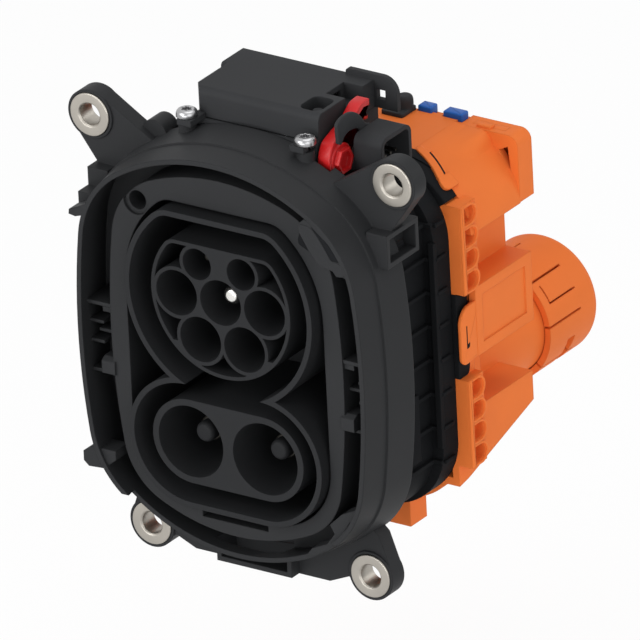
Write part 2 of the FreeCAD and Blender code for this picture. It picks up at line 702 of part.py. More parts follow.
def dc_contact_carrier():
    body = stadium(DC_HALF_PITCH, -DC_DROP, DC_CARRIER_R, 0.0, FLOOR_Y).removeSplitter()
    cuts = []
    for side in (-1, 1):
        cuts.append(rod_y(DC_HOLE_R, -1, DC_HOLE_DEPTH, side * DC_HALF_PITCH, -DC_DROP))
        cuts.append(root_hole(DC_PIN_R, 0, FLOOR_Y + 1, side * DC_HALF_PITCH, -DC_DROP))
    return one_solid(body.cut(fuse_all(cuts)))


def root_hole(radius, y0, y1, x, z):
    """Hole for a contact's thicker root."""
    return rod_y(radius + PIN_ROOT_GROW + PIN_CLEARANCE, y0, y1, x, z)


def contact(radius, tip_y, shoulder_r, barrel_r, barrel_end, wire_r, x, z):
    """Turned contact: rounded pin, shoulder behind the floor and crimp barrel."""
    seat = FLOOR_Y + FLOOR_THICK
    nose = radius * 0.4
    pin = cone_y(radius - nose, radius, tip_y, tip_y + nose, x, z)
    shank = rod_y(radius, tip_y + nose, EMPTY_HOLE_DEPTH, x, z)
    root = rod_y(radius + PIN_ROOT_GROW, EMPTY_HOLE_DEPTH, seat, x, z)
    shoulder = rod_y(shoulder_r, seat, seat + SHOULDER_THICK, x, z)
    barrel = rod_y(barrel_r, seat + SHOULDER_THICK, barrel_end, x, z)
    wire = rod_y(wire_r, barrel_end - 0.42 * (barrel_end - seat), barrel_end + 1, x, z)
    return one_solid(fuse_all([pin, shank, root, shoulder, barrel]).cut(wire))


def pe_contact():
    shoulder = PE_BARREL_R + 1.4
    wire = PE_BARREL_R - 1.2
    return contact(PE_PIN_R, PE_TIP_Y, shoulder, PE_BARREL_R, PE_BARREL_END_Y, wire, 0.0, 0.0)


def signal_contact(kind):
    x, z = [(x, z) for x, z, name in ac_holes() if name == kind][0]
    shoulder = SIGNAL_BARREL_R + 1.0
    tip = CP_TIP_Y if kind == "cp" else PP_TIP_Y
    wire = SIGNAL_BARREL_R - 0.9
    return contact(SIGNAL_PIN_R, tip, shoulder, SIGNAL_BARREL_R, SIGNAL_BARREL_END_Y, wire, x, z)


def dc_contact(side):
    x = side * DC_HALF_PITCH
    z = -DC_DROP
    seat = FLOOR_Y + FLOOR_THICK
    stud = rod_y(DC_STUD_R, DC_TIP_Y + 1.0, DC_TIP_Y + DC_CAP_LENGTH, x, z)
    shank = rod_y(DC_PIN_R, DC_TIP_Y + DC_CAP_LENGTH, DC_HOLE_DEPTH, x, z)
    root = rod_y(DC_PIN_R + PIN_ROOT_GROW, DC_HOLE_DEPTH, seat, x, z)
    shoulder = rod_y(DC_BARREL_R + 1.6, seat, seat + SHOULDER_THICK, x, z)
    barrel = rod_y(DC_BARREL_R, seat + SHOULDER_THICK, DC_BARREL_END_Y, x, z)
    wire = rod_y(DC_BARREL_R - 1.7, DC_BARREL_END_Y - 24.0, DC_BARREL_END_Y + 1, x, z)
    return one_solid(fuse_all([stud, shank, root, shoulder, barrel]).cut(wire))


def dc_tip_cap(side):
    x = side * DC_HALF_PITCH
    z = -DC_DROP
    nose = DC_CAP_R - DC_TIP_R
    cap = cone_y(DC_TIP_R, DC_CAP_R, DC_TIP_Y, DC_TIP_Y + nose, x, z)
    skirt = rod_y(DC_CAP_R, DC_TIP_Y + nose, DC_TIP_Y + DC_CAP_LENGTH, x, z)
    socket = rod_y(DC_STUD_R + 0.02, DC_TIP_Y + 1.0, DC_TIP_Y + DC_CAP_LENGTH + 1, x, z)
    return one_solid(cap.fuse(skirt).cut(socket))


def contact_retainer():
    """Plate with counterbores that holds the contact shoulders against the socket floor."""
    y0 = FLOOR_Y + FLOOR_THICK
    y1 = y0 + RETAINER_THICK
    body = clipped_disc(CARRIER_R, CARRIER_TOP_Z, CARRIER_CORNER_R, y0, y1)
    body = body.fuse(stadium(DC_HALF_PITCH, -DC_DROP, DC_CARRIER_R, y0, y1))
    body = body.fuse(box(-12.0, 12.0, y0, y1, -DC_DROP, 0.0))
    cuts = []
    seats = [(0.0, 0.0, PE_BARREL_R, 1.4)]
    for x, z, kind in ac_holes():
        if kind in ("cp", "pp"):
            seats.append((x, z, SIGNAL_BARREL_R, 1.0))
    for side in (-1, 1):
        seats.append((side * DC_HALF_PITCH, -DC_DROP, DC_BARREL_R, 1.6))
    for x, z, barrel_r, shoulder in seats:
        cuts.append(rod_y(barrel_r + shoulder + PIN_CLEARANCE, y0 - 1, y0 + SHOULDER_THICK, x, z))
        cuts.append(rod_y(barrel_r + PIN_CLEARANCE, y0 - 1, y1 + 1, x, z))
    return one_solid(body.cut(fuse_all(cuts)))


def sensor_board():
    """Board that sits on the direct-current barrels and reads their temperature."""
    y0 = FLOOR_Y + FLOOR_THICK + RETAINER_THICK
    half = DC_HALF_PITCH + DC_BARREL_R + 3.0
    low = -DC_DROP - 15.0
    high = -DC_DROP + 15.0
    board = plate_y([(-half, low), (half, low), (half, high), (-half, high)], y0, y0 + 1.6, 3.0)
    hole_r = DC_BARREL_R + PIN_CLEARANCE
    for side in (-1, 1):
        board = board.cut(rod_y(hole_r, y0 - 1, y0 + 3, side * DC_HALF_PITCH, -DC_DROP))
    return one_solid(board)


def rear_outline(half_width, grow):
    """Corner points of the rear frame's section."""
    side = half_width + grow
    top = REAR_FRAME_TOP_Z + grow
    low = REAR_FRAME_BOTTOM_Z - grow
    return [(-side, low), (side, low), (side, top), (-side, top)]


def lock_pin_y():
    """The locking pin stands midway in the crank's small fore-and-aft travel."""
    swing = math.radians(CRANK_HALF_SWING)
    return SHAFT_Y + CRANK_ARM * (1.0 + math.cos(swing)) / 2.0


def rear_ribs():
    """Low ribs on the side wall and the step, a ridge at the step's corner and a pad below."""
    side = REAR_FRAME_HALF_WIDTH
    step = STEP_HALF_WIDTH
    ribs = []
    for i in range(8):
        z0 = REAR_FRAME_TOP_Z - 15.1 - RIB_PITCH * i
        z1 = z0 + RIB_THICK
        ribs.append(box(side - 1.0, side + RIB_HEIGHT, DRUM_REAR_Y, STEP_Y + 0.5, z0, z1))
        ribs.append(box(side - 1.0, step - 0.4, STEP_Y - 1.0, STEP_Y + 0.5, z0, z1))
    low = REAR_FRAME_BOTTOM_Z + REAR_FRAME_CORNER_R + 3.0
    high = REAR_FRAME_TOP_Z - REAR_FRAME_CORNER_R
    ribs.append(box(step - 1.6, step + 0.3, STEP_Y - 1.2, STEP_Y + 0.6, low, high))
    ribs.append(box(side - 1.0, side + RIB_HEIGHT, DRUM_REAR_Y, 34.0, low - 2.0, low + 20.0))
    return both_sides(fuse_all(ribs))


def rear_frame():
    """Frame behind the flange: tube, step for the cover, ribs and a thin flange lip."""
    half = REAR_FRAME_HALF_WIDTH
    corner = REAR_FRAME_CORNER_R
    wall = REAR_WALL
    body = plate_y(rear_outline(half, 0.0), DRUM_REAR_Y, STEP_Y + wall, corner)
    inner = plate_y(rear_outline(half, -wall), DRUM_REAR_Y - 1, COVER_FRONT_Y + 1, corner - wall)
    step = plate_y(rear_outline(STEP_HALF_WIDTH, -0.2), STEP_Y, COVER_FRONT_Y, corner + 2.0)
    step_form = rear_outline(STEP_HALF_WIDTH, -wall)
    step_room = plate_y(step_form, STEP_Y + wall, COVER_FRONT_Y + 1, corner)
    lip = oval_plate(DRUM, 0.0, DRUM_REAR_Y, DRUM_REAR_Y + 2.0)
    lip = lip.cut(box(-60, 60, 0, 60, REAR_FRAME_TOP_Z, DRUM_TOP_Z + 40.0))
    shell = fuse_all([body, step, rear_ribs(), lip]).cut(inner).cut(step_room)
    pin_hole = rod_z(LOCK_PIN_R + 0.4, 20.0, REAR_FRAME_TOP_Z + 10.0, 0.0, lock_pin_y())
    slot_y = HOOD_Y0 + 6.0
    top = REAR_FRAME_TOP_Z
    wire_slot = box(HOOD_X0 - 4.8, HOOD_X0 + 3.2, slot_y, slot_y + 8.0, top - 4.0, top + 6.0)
    return one_solid(shell.cut(pin_hole).cut(wire_slot))


def cover_seal():
    """Rubber cord in the step between the rear frame and the rear cover."""
    corner = REAR_FRAME_CORNER_R
    outer_form = rear_outline(STEP_HALF_WIDTH, -REAR_WALL - 0.05)
    outer = plate_y(outer_form, COVER_FRONT_Y - 2.5, COVER_FRONT_Y, corner)
    inner_form = rear_outline(STEP_HALF_WIDTH, -REAR_WALL - 2.4)
    inner = plate_y(inner_form, COVER_FRONT_Y - 4, COVER_FRONT_Y + 1, corner - 2.3)
    return one_solid(outer.cut(inner))


def cover_block(x0, x1, y0, y1, z0, z1, shrink):
    """Block with its ends in X given in any order, all faces but the front moved inwards."""
    low, high = sorted((x0, x1))
    return box(low + shrink, high - shrink, y0, y1 - shrink, z0 + shrink, z1 - shrink)


def cover_band(shrink):
    """Flat front band of the cover; its wall is thick enough to press on the seal."""
    inset = shrink + COVER_LIP + 1.4 if shrink else 0.0
    side = STEP_HALF_WIDTH + COVER_LIP - inset
    low = REAR_FRAME_BOTTOM_Z - COVER_LIP + inset
    high = REAR_FRAME_TOP_Z - inset
    front = COVER_FRONT_Y - 1.0 if shrink else COVER_FRONT_Y
    form = [(-side, low), (side, low), (side, high), (-side, high)]
    return plate_y(form, front, BAND_REAR_Y - shrink, COVER_CORNER_R - inset)


def cover_crown(shrink, y0, y1):
    """Round-shouldered upper part of the cover, flat below."""
    side = COVER_HALF_WIDTH - shrink
    high = REAR_FRAME_TOP_Z - shrink
    low = high - COVER_CORNER_R - 6.0
    bend = COVER_CORNER_R - shrink
    form = [(-side, low), (side, low), (side, high), (-side, high)]
    crown = plate_y(form, y0, y1, [0.0, 0.0, bend, bend])
    return crown.cut(box(-side - 1, side + 1, y0 - 1, y1 + 1, low - 1, CROWN_LOW_Z + shrink))


def cover_shoulder_box(sign, shrink):
    """Square box at the rear upper corner; inside, it opens forwards into the crown."""
    x0 = CROWN_HALF_WIDTH + shrink
    x1 = COVER_HALF_WIDTH - 0.2 - shrink
    z0 = CROWN_LOW_Z + 0.2 + shrink
    z1 = REAR_FRAME_TOP_Z - 0.6 - shrink
    bend = 3.5 - 0.5 * shrink
    y1 = COVER_BOX_REAR_Y - shrink
    form = [(x0, z0), (x1, z0), (x1, z1), (x0, z1)]
    solid = plate_y(form, CROWN_REAR_Y + shrink, y1, [0.0, 0.0, bend, 0.0])
    if shrink:
        passage = cover_crown(shrink, CROWN_REAR_Y - 10.0, y1)
        solid = solid.fuse(passage.common(box(x0, x1, CROWN_REAR_Y - 9.0, y1, z0, z1)))
    return solid if sign > 0 else mirror_x(solid)


def cover_mass(shrink):
    """Solid form of the orange cover, every face moved inwards by shrink; the front runs out."""
    front = COVER_FRONT_Y - 1.0 if shrink else COVER_FRONT_Y
    half = CROWN_HALF_WIDTH + 0.4
    neck = NECK_HALF_WIDTH
    top = REAR_FRAME_TOP_Z
    saddle_y = DC_BARREL_END_Y + COVER_WALL + 1.6
    saddle_z = DC_BARREL_R + COVER_WALL + 0.9
    pieces = [
        cover_block(-21.0, 21.0, front, saddle_y, -DC_DROP - saddle_z, -DC_DROP + saddle_z, shrink),
        cover_band(shrink),
        cover_crown(shrink, COVER_FRONT_Y + 6.0 + shrink, CROWN_REAR_Y - shrink),
        cover_block(-half, half, front, CROWN_REAR_Y + 2.5, 5.0, top, shrink),
        cover_block(-neck, neck, front, COVER_REAR_Y, SIDE_BOX_LOW_Z, CROWN_LOW_Z + 3.0, shrink),
        cover_block(-neck, neck, front, NECK_LOW_REAR_Y, -62.0, SIDE_BOX_LOW_Z + 8.0, shrink),
    ]
    tube_end = GLAND_TUBE_END_Y + 1.0 if shrink else GLAND_TUBE_END_Y
    tube_r = GLAND_TUBE_BORE_R if shrink else GLAND_TUBE_R
    low_top = -48.4 - shrink
    low_form = [
        (front, -70.5 + shrink), (54.7, -69.5 + shrink), (91.0 - shrink, -58.1 + shrink),
        (91.0 - shrink, low_top), (front, low_top),
    ]
    low_x = STEP_HALF_WIDTH - 0.4 - shrink
    for sign in (-1, 1):
        pieces.append(cover_shoulder_box(sign, shrink))
        x0, x1 = sign * 30.0, sign * COVER_HALF_WIDTH
        pieces.append(cover_block(x0, x1, 56.0, COVER_REAR_Y, SIDE_BOX_LOW_Z, SIDE_BOX_TOP_Z, shrink))
        pieces.append(plate_x(low_form, min(sign * 6.0, sign * low_x), max(sign * 6.0, sign * low_x)))
        x = sign * GLAND_HALF_SPACING
        pieces.append(rod_y(tube_r, NECK_LOW_REAR_Y - 8.0, tube_end, x, -DC_DROP))
    return fuse_all(pieces)


def cover_bars():
    """Clip bars along the front edge, each with four pockets open to the side."""
    x1 = COVER_HALF_WIDTH
    x0 = x1 - BAR_WIDTH
    y0 = COVER_FRONT_Y
    bars = []
    for low_z in (-6.0, -63.5):
        bar = box(x0 - 2.6, x1, y0, y0 + BAR_DEPTH, low_z, low_z + 4 * POCKET_PITCH)
        for i in range(4):
            z = low_z + POCKET_PITCH * (i + 0.5)
            flat = box(x0, x1 + 1, y0 + 2.2, y0 + 5.0, z - POCKET_R, z + POCKET_R)
            bar = bar.cut(flat.fuse(rod_x(POCKET_R, x0, x1 + 1, y0 + 5.0, z)))
        bars.append(bar)
    return bars


def cover_cuts(sign):
    """Seal seat, inset side panel, shoulder window and top recess of one half of the cover."""
    x = sign * GLAND_HALF_SPACING
    side = COVER_HALF_WIDTH
    top = REAR_FRAME_TOP_Z - 0.6
    low = SIDE_BOX_LOW_Z + 3.5
    high = SIDE_BOX_TOP_Z - 3.5
    window = [(side - 7.2, 27.9), (side - 3.9, 29.5), (side - 3.2, 22.0)]
    cuts = [
        box(side - INSET_DEPTH, side + 1, 59.6, COVER_REAR_Y - 3.6, low, high),
        plate_y(window, CROWN_REAR_Y - 0.5, CROWN_REAR_Y + COVER_WALL + 1.0),
        box(side - 18.0, side - 6.0, CROWN_REAR_Y + 2.2, COVER_BOX_REAR_Y - 2.4, top - 0.8, top + 1),
    ]
    cuts = fuse_all(cuts) if sign > 0 else mirror_x(fuse_all(cuts))
    seat = rod_y(SEAL_R, GLAND_TUBE_END_Y - SEAL_LENGTH, GLAND_TUBE_END_Y + 1, x, -DC_DROP)
    return [cuts, seat]


def rear_cover():
    """Orange cover: outer form less inner form, with clip bars, a foot and the seats of the locks."""
    bars = both_sides(fuse_all(cover_bars()))
    low = REAR_FRAME_BOTTOM_Z
    foot = box(-31.4, 31.4, COVER_FRONT_Y, BAND_REAR_Y + 0.3, low - 11.0, low + 1.0)
    x0 = lock_slots()[0][0] - 1.2
    x1 = lock_slots()[-1][1] + 1.0
    shelf = box(x0, x1, CROWN_REAR_Y, LOCK_TAB_Y1 + 0.5, LOCK_TAB_Z0 - 3.4, LOCK_TAB_Z0)
    outer = fuse_all([cover_mass(0.0), bars, foot, shelf])
    cuts = cover_cuts(-1) + cover_cuts(1)
    for x0, x1 in lock_slots():
        y0, y1 = LOCK_TAB_Y0 - 0.15, LOCK_TAB_Y1 + 7.0
        cuts.append(box(x0 - 0.15, x1 + 0.15, y0, y1, LOCK_TAB_Z0, LOCK_TAB_Z1 + 10.0))
    return one_solid(outer.cut(cover_mass(COVER_WALL)).cut(fuse_all(cuts)))


def lock_slots():
    """Ends in X of the two sliding locks."""
    return [(17.3, 22.2), (26.5, 33.4)]


def position_lock(index):
    """Sliding lock tab, inner (0) or outer (1)."""
    x0, x1 = lock_slots()[index]
    body = box(x0, x1, LOCK_TAB_Y0, LOCK_TAB_Y1, LOCK_TAB_Z0, LOCK_TAB_Z1)
    edges = [e for e in body.Edges if abs(e.CenterOfMass.z - LOCK_TAB_Z1) < 1e-6]
    return one_solid(body.makeChamfer(0.6, edges))


def lock_base():
    """Black strip on the cover's rear edge with a domed knob at its outer end."""
    z0 = REAR_FRAME_TOP_Z
    y = CROWN_REAR_Y - 0.6
    strip = box(KNOB_X - 5.4, KNOB_X + 2.6, y - 5.4, y + 2.7, z0, z0 + 1.4)
    knob = rod_z(KNOB_R, z0 + 1.0, z0 + 5.4, KNOB_X, y)
    rim = [e for e in knob.Edges if abs(e.CenterOfMass.z - z0 - 5.4) < 1e-6]
    return one_solid(strip.fuse(knob.makeFillet(1.9, rim)))


def wall_slot(a0, a1, y0, y1):
    """Slot through a wall round the origin's Y axis, between two angles in degrees from +X."""
    middle = (a0 + a1) / 2.0
    reach = 2.0 * GLAND_CAP_R
    rays = [(reach * math.cos(math.radians(a)), reach * math.sin(math.radians(a))) for a in (a0, middle, a1)]
    wedge = plate_y([(0.0, 0.0)] + rays, y0, y1)
    return wedge.cut(rod_y(GLAND_TUBE_R - 1.0, y0 - 1, y1 + 1))


def gland_slots():
    """Slots between the cap's snap fingers, the slot of its latch and one window, round the origin."""
    width = math.degrees(0.35 / GLAND_CAP_R)
    front = GLAND_CAP_FRONT_Y
    slots = []
    for i in range(GLAND_SLOTS):
        angle = GLAND_SLOT_ANGLE + 360.0 * i / GLAND_SLOTS
        slots.append(wall_slot(angle - width, angle + width, front - 1, front + 17.0))
    slots.append(wall_slot(26.2, 27.8, front + 3.2, front + 17.0))
    slots.append(wall_slot(26.2, 45.0, front + 3.2, front + 3.8))
    slots.append(wall_slot(-58.0, -18.0, front + 10.5, front + 14.5))
    return fuse_all(slots)


def gland_cap(side):
    """Cup nut over the gland tube, with snap fingers at its front and a rounded rear edge."""
    cup = rod_y(GLAND_CAP_R, GLAND_CAP_FRONT_Y, GLAND_CAP_REAR_Y)
    rim = [e for e in cup.Edges if abs(e.CenterOfMass.y - GLAND_CAP_REAR_Y) < 1e-6]
    cup = cup.makeFillet(4.0, rim)
    room = rod_y(GLAND_TUBE_R + GLAND_CAP_GAP, GLAND_CAP_FRONT_Y - 1, GLAND_TUBE_END_Y + GLAND_CAP_GAP)
    cable = rod_y(CABLE_BORE_R, GLAND_CAP_FRONT_Y, GLAND_CAP_REAR_Y + 1)
    cup = one_solid(cup.cut(fuse_all([room, cable, gland_slots()])))
    if side < 0:
        cup = mirror_x(cup)
    return cup.translated(Vector(side * GLAND_HALF_SPACING, 0, -DC_DROP))


def cable_seal(side):
    x = side * GLAND_HALF_SPACING
    y0 = GLAND_TUBE_END_Y - SEAL_LENGTH
    ring = rod_y(SEAL_R - 0.05, y0, GLAND_TUBE_END_Y - 0.1, x, -DC_DROP)
    bore = rod_y(CABLE_BORE_R - 0.5, y0 - 1, GLAND_TUBE_END_Y + 1, x, -DC_DROP)
    return one_solid(ring.cut(bore))


def screw_tab(side):
    """Tab of the actuator's tray, with its turned-down root."""
    x0, x1 = sorted((side * (SCREW_X - 3.6), side * ACTUATOR_HALF_WIDTH))
    high = ACTUATOR_SPLIT_Z + 1.7
    flat = box(x0, x1, SCREW_Y - 3.4, ACTUATOR_FRONT_Y + 0.5, ACTUATOR_SPLIT_Z - 0.3, high)
    root = box(x0, x1, ACTUATOR_FRONT_Y - 0.1, ACTUATOR_FRONT_Y + 1.4, ACTUATOR_SPLIT_Z - 2, high)
    return flat.fuse(root)


def actuator_base():
    """Tray of the lock actuator, with tabs, shaft bearings and a ledge for the plug hood."""
    half = ACTUATOR_HALF_WIDTH
    wall = ACTUATOR_WALL
    floor = ACTUATOR_FLOOR_Z
    front = ACTUATOR_FRONT_Y
    rear = ACTUATOR_REAR_Y
    pin_y = lock_pin_y()
    outer = box(-half, half, front, rear, floor - 0.3, ACTUATOR_SPLIT_Z)
    inner = box(-half + wall, half - wall, front + 1.4, rear - wall, floor + 1.4, ACTUATOR_SPLIT_Z + 1)
    ledge = box(half - 1, HOOD_X0 + 3.2, HOOD_Y0 + 3.6, HOOD_Y1 + 1.0, floor - 0.3, HOOD_Z0)
    bearing_x = MOTOR_X + 2.6
    bearing = box(bearing_x, bearing_x + 3.0, front + 1, SHAFT_Y + 4.0, floor + 1, SHAFT_Z + 4.0)
    cradle_top = MOTOR_Z - MOTOR_R + 1.5
    cradle = box(MOTOR_X - MOTOR_R, MOTOR_X + MOTOR_R, 38.0, 51.0, floor + 1, cradle_top)
    guide = rod_z(LOCK_PIN_R + 2.0, REAR_FRAME_TOP_Z, floor + 1.6, 0.0, pin_y)
    pieces = [outer.cut(inner), ledge, bearing, cradle, guide, screw_tab(-1), screw_tab(1)]
    wires = box(HOOD_X0 - 2.8, HOOD_X0 + 1.7, HOOD_Y0 + 7.0, HOOD_Y0 + 13.0, floor - 4.0, floor + 10.0)
    cuts = [
        rod_x(SHAFT_R + RUNNING_GAP, 6.0, half + 1, SHAFT_Y, SHAFT_Z),
        rod_z(LOCK_PIN_R + RUNNING_GAP, floor - 4.0, floor + 5.7, 0.0, pin_y),
        rod_y(MOTOR_R + 0.05, 36.0, 52.0, MOTOR_X, MOTOR_Z),
        rod_x(WHEEL_R + 0.3, MOTOR_X - 2.3, MOTOR_X + 2.3, SHAFT_Y, SHAFT_Z),
        wires,
    ]
    for side in (-1, 1):
        cuts.append(rod_z(1.55, ACTUATOR_SPLIT_Z - 8.0, ACTUATOR_SPLIT_Z + 8.0, side * SCREW_X, SCREW_Y))
    return one_solid(fuse_all(pieces).cut(fuse_all(cuts)))


def lid_shell():
    """Hollow lid with a rounded front edge and a bump at the left rear."""
    half = ACTUATOR_HALF_WIDTH
    z0 = ACTUATOR_SPLIT_Z + 0.05
    z1 = ACTUATOR_TOP_Z
    wall = ACTUATOR_WALL
    rear = ACTUATOR_REAR_Y
    section = [(22.9, z0), (rear, z0), (rear, z1), (23.4, z1)]
    outer = plate_x(section, -half, half, [0.0, 0.0, 1.2, 2.5])
    room = [(24.9, z0 - 1), (rear - wall, z0 - 1), (rear - wall, z1 - wall), (26.4, z1 - wall)]
    inner = plate_x(room, -half + wall, half - wall)
    bump_form = [(42.0, z0), (rear, z0), (rear, z1), (42.0, z1)]
    bump = plate_x(bump_form, -half - 2.0, -half + 1.0, [0.0, 0.0, 1.2, 1.2])
    return outer.fuse(bump).cut(inner)


def lid_recess():
    """Walls and room of the recess beside the motor, open to the right."""
    half = ACTUATOR_HALF_WIDTH
    z0 = ACTUATOR_SPLIT_Z + 0.05
    floor = z0 + 3.6
    high = ACTUATOR_TOP_Z - 0.1
    wall = 1.1
    x0 = half - 7.0
    y0, y1 = 38.0, 47.5
    walls = [
        box(x0 - wall, half, y0 - wall, y1 + wall, z0, floor),
        box(x0 - wall, x0, y0 - wall, y1 + wall, z0, high),
        box(x0 - wall, half, y0 - wall, y0, z0, high),
        box(x0 - wall, half, y1, y1 + wall, z0, high),
    ]
    room = box(x0, half + 1, y0, y1, floor, ACTUATOR_TOP_Z + 1)
    sight = box(x0 - wall - 0.5, x0 + 0.5, y0 + 1.6, y1 - 1.9, z0 + 4.0, z0 + 7.0)
    return fuse_all(walls), room.fuse(sight)


def actuator_cover():
    """Lid with a screw pocket, a recess beside the motor and a windowed rear tab."""
    half = ACTUATOR_HALF_WIDTH
    z0 = ACTUATOR_SPLIT_Z + 0.05
    z1 = ACTUATOR_TOP_Z
    rear = ACTUATOR_REAR_Y
    corner = plate_z([(-half - 3, 21.0), (-half + 4.5, 21.0), (-half - 3, 30.5)], z0 - 1, z1 + 1)
    pocket_form = [(half - 9.0, 25.6), (half - 1.4, 25.6), (half - 1.4, 35.4), (half - 9.0, 35.4)]
    pocket = plate_z(pocket_form, z1 - 5.5, z1 + 1, 2.4)
    pocket_shell = box(half - 10.4, half, 24.2, 36.9, z1 - 6.9, z1).common(plate_x(
        [(24.2, z1 - 7.0), (36.9, z1 - 7.0), (36.9, z1), (26.0, z1), (24.2, z1 - 1.4)], 0.0, half))
    stud = rod_z(1.6, z1 - 6.0, z1 - 2.0, half - 5.0, 30.5)
    walls, room = lid_recess()
    tab_x = half + 8.4
    tab_form = [(half - 10.0, z0), (tab_x, z0), (tab_x, z1 + 1.8), (half - 10.0, z1 + 1.8)]
    rear_tab = plate_y(tab_form, rear - 1.8, rear, [0.0, 0.0, 5.4, 1.0])
    lid = fuse_all([lid_shell().cut(corner), pocket_shell, walls, rear_tab, chamfer_wall(half, z0, z1)])
    window_z = z0 + 2.95
    cuts = [
        room,
        pocket,
        box(half - 5.2, half - 2.1, rear - 5.0, rear + 5.0, window_z, window_z + 3.2),
        box(half + 1.1, half + 4.2, rear - 5.0, rear + 5.0, window_z, window_z + 3.2),
        rod_y(MOTOR_R + 0.3, 35.6, 53.4, MOTOR_X, MOTOR_Z),
        rod_y(WORM_R + 0.3, 24.3, 36.5, MOTOR_X, worm_z()),
        rod_z(3.7, z0 - 2, z0 + 6.0, SCREW_X, SCREW_Y),
        rod_z(3.7, z0 - 2, z0 + 6.0, -SCREW_X, SCREW_Y),
        corner,
    ]
    return one_solid(lid.cut(fuse_all(cuts)).fuse(stud))


def chamfer_wall(half, z0, z1):
    """Slanted wall that closes the lid's cut front left corner."""
    form = [(-half, 26.7), (-half + 3.9, 22.3), (-half + 5.9, 24.3), (-half + ACTUATOR_WALL, 29.0)]
    section = [(23.0, z0), (40.0, z0), (40.0, z1 - 0.1), (25.9, z1 - 0.1), (23.8, z1 - 2.2)]
    return plate_z(form, z0, z1 - 0.2).common(plate_x(section, -half, half))


def actuator_screws():
    """Two pan-head screws with a six-lobed recess."""
    seat = ACTUATOR_SPLIT_Z + 1.7
    screws = []
    for side in (-1, 1):
        x = side * SCREW_X
        head = rod_z(3.4, seat, seat + 2.4, x, SCREW_Y)
        rim = [e for e in head.Edges if abs(e.CenterOfMass.z - seat - 2.4) < 1e-6]
        head = head.makeFillet(1.1, rim)
        shank = rod_z(1.2, seat - 5.6, seat, x, SCREW_Y)
        recess = [rod_z(1.15, seat + 1.0, seat + 3.0, x, SCREW_Y)]
        for k in range(6):
            lobe_x = x + 1.1 * math.cos(k * math.pi / 3)
            lobe_y = SCREW_Y + 1.1 * math.sin(k * math.pi / 3)
            recess.append(rod_z(0.55, seat + 1.0, seat + 3.0, lobe_x, lobe_y))
        screws.append(one_solid(head.fuse(shank).cut(fuse_all(recess))))
    return Part.makeCompound(screws)


def crank_shaft():
    """Output shaft with the worm wheel, the crank web and the crank pin; lowered position."""
    swing = math.radians(-CRANK_HALF_SWING)
    pin_y = SHAFT_Y + CRANK_ARM * math.cos(swing)
    pin_z = SHAFT_Z + CRANK_ARM * math.sin(swing)
    shaft = rod_x(SHAFT_R, 3.4, LEVER_X0 + 3.0, SHAFT_Y, SHAFT_Z)
    web = plate_x(
        [(SHAFT_Y - 3.0, SHAFT_Z - 2.2), (SHAFT_Y - 1.0, SHAFT_Z + 3.2), (pin_y + 2.6, pin_z + 2.0),
         (pin_y + 1.6, pin_z - 2.3)], 3.4, 6.0, 1.4)
    pin = rod_x(CRANK_PIN_R, -2.8, 4.0, pin_y, pin_z)
    teeth = []
    count = 14
    x0 = MOTOR_X - 1.8
    x1 = MOTOR_X + 1.8
    wheel = rod_x(WHEEL_R - 0.7, x0, x1, SHAFT_Y, SHAFT_Z)
    for i in range(count):
        tooth = box(x0, x1, -0.42, 0.42, WHEEL_R - 1.2, WHEEL_R)
        tooth.rotate(Vector(0, 0, 0), Vector(1, 0, 0), 360.0 * i / count)
        tooth.translate(Vector(0, SHAFT_Y, SHAFT_Z))
        teeth.append(tooth)
    return one_solid(fuse_all([shaft, web, pin, wheel] + teeth))


def locking_pin():
    """Round pin with a slotted yoke on top, in the locked (lowered) position."""
    swing = math.radians(CRANK_HALF_SWING)
    slot_z = SHAFT_Z - CRANK_ARM * math.sin(swing)
    y = lock_pin_y()
    tip = CARRIER_TOP_Z + 2.4
    pin = rod_z(LOCK_PIN_R, tip + 0.8, slot_z - 2.6, 0.0, y)
    nose = Part.makeCone(LOCK_PIN_R - 0.8, LOCK_PIN_R, 0.8, Vector(0, y, tip), Vector(0, 0, 1))
    yoke = box(-2.8, 2.8, y - 4.0, y + 4.0, slot_z - 2.8, slot_z + 3.4)
    half_slot = CRANK_ARM * (1.0 - math.cos(swing)) / 2.0 + CRANK_PIN_R + 0.15
    half_high = CRANK_PIN_R + 0.1
    slot = box(-4.0, 4.0, y - half_slot, y + half_slot, slot_z - half_high, slot_z + half_high)
    return one_solid(fuse_all([pin, nose, yoke]).cut(slot))


def worm_z():
    """Height of the worm's axis, just clear of the wheel below it."""
    return SHAFT_Z + WHEEL_R + WORM_R + 0.15


def worm_shaft():
    """Motor shaft with the worm; it lies above the wheel and turns about Y."""
    z = worm_z()
    shaft = rod_y(1.0, 24.6, 40.2, MOTOR_X, z)
    worm = rod_y(WORM_R - 0.7, 24.8, 31.4, MOTOR_X, z)
    rings = [rod_y(WORM_R, 25.2 + 1.6 * i, 25.9 + 1.6 * i, MOTOR_X, z) for i in range(4)]
    return one_solid(fuse_all([shaft, worm] + rings))


def lock_motor():
    """Motor can with the neck that carries its shaft."""
    z = worm_z()
    can = rod_y(MOTOR_R - 0.05, 37.0, 51.6, MOTOR_X, MOTOR_Z)
    neck = rod_y(2.0, 36.0, 37.0, MOTOR_X, z)
    return one_solid(can.fuse(neck).cut(rod_y(1.0 + RUNNING_GAP, 35.0, 41.0, MOTOR_X, z)))


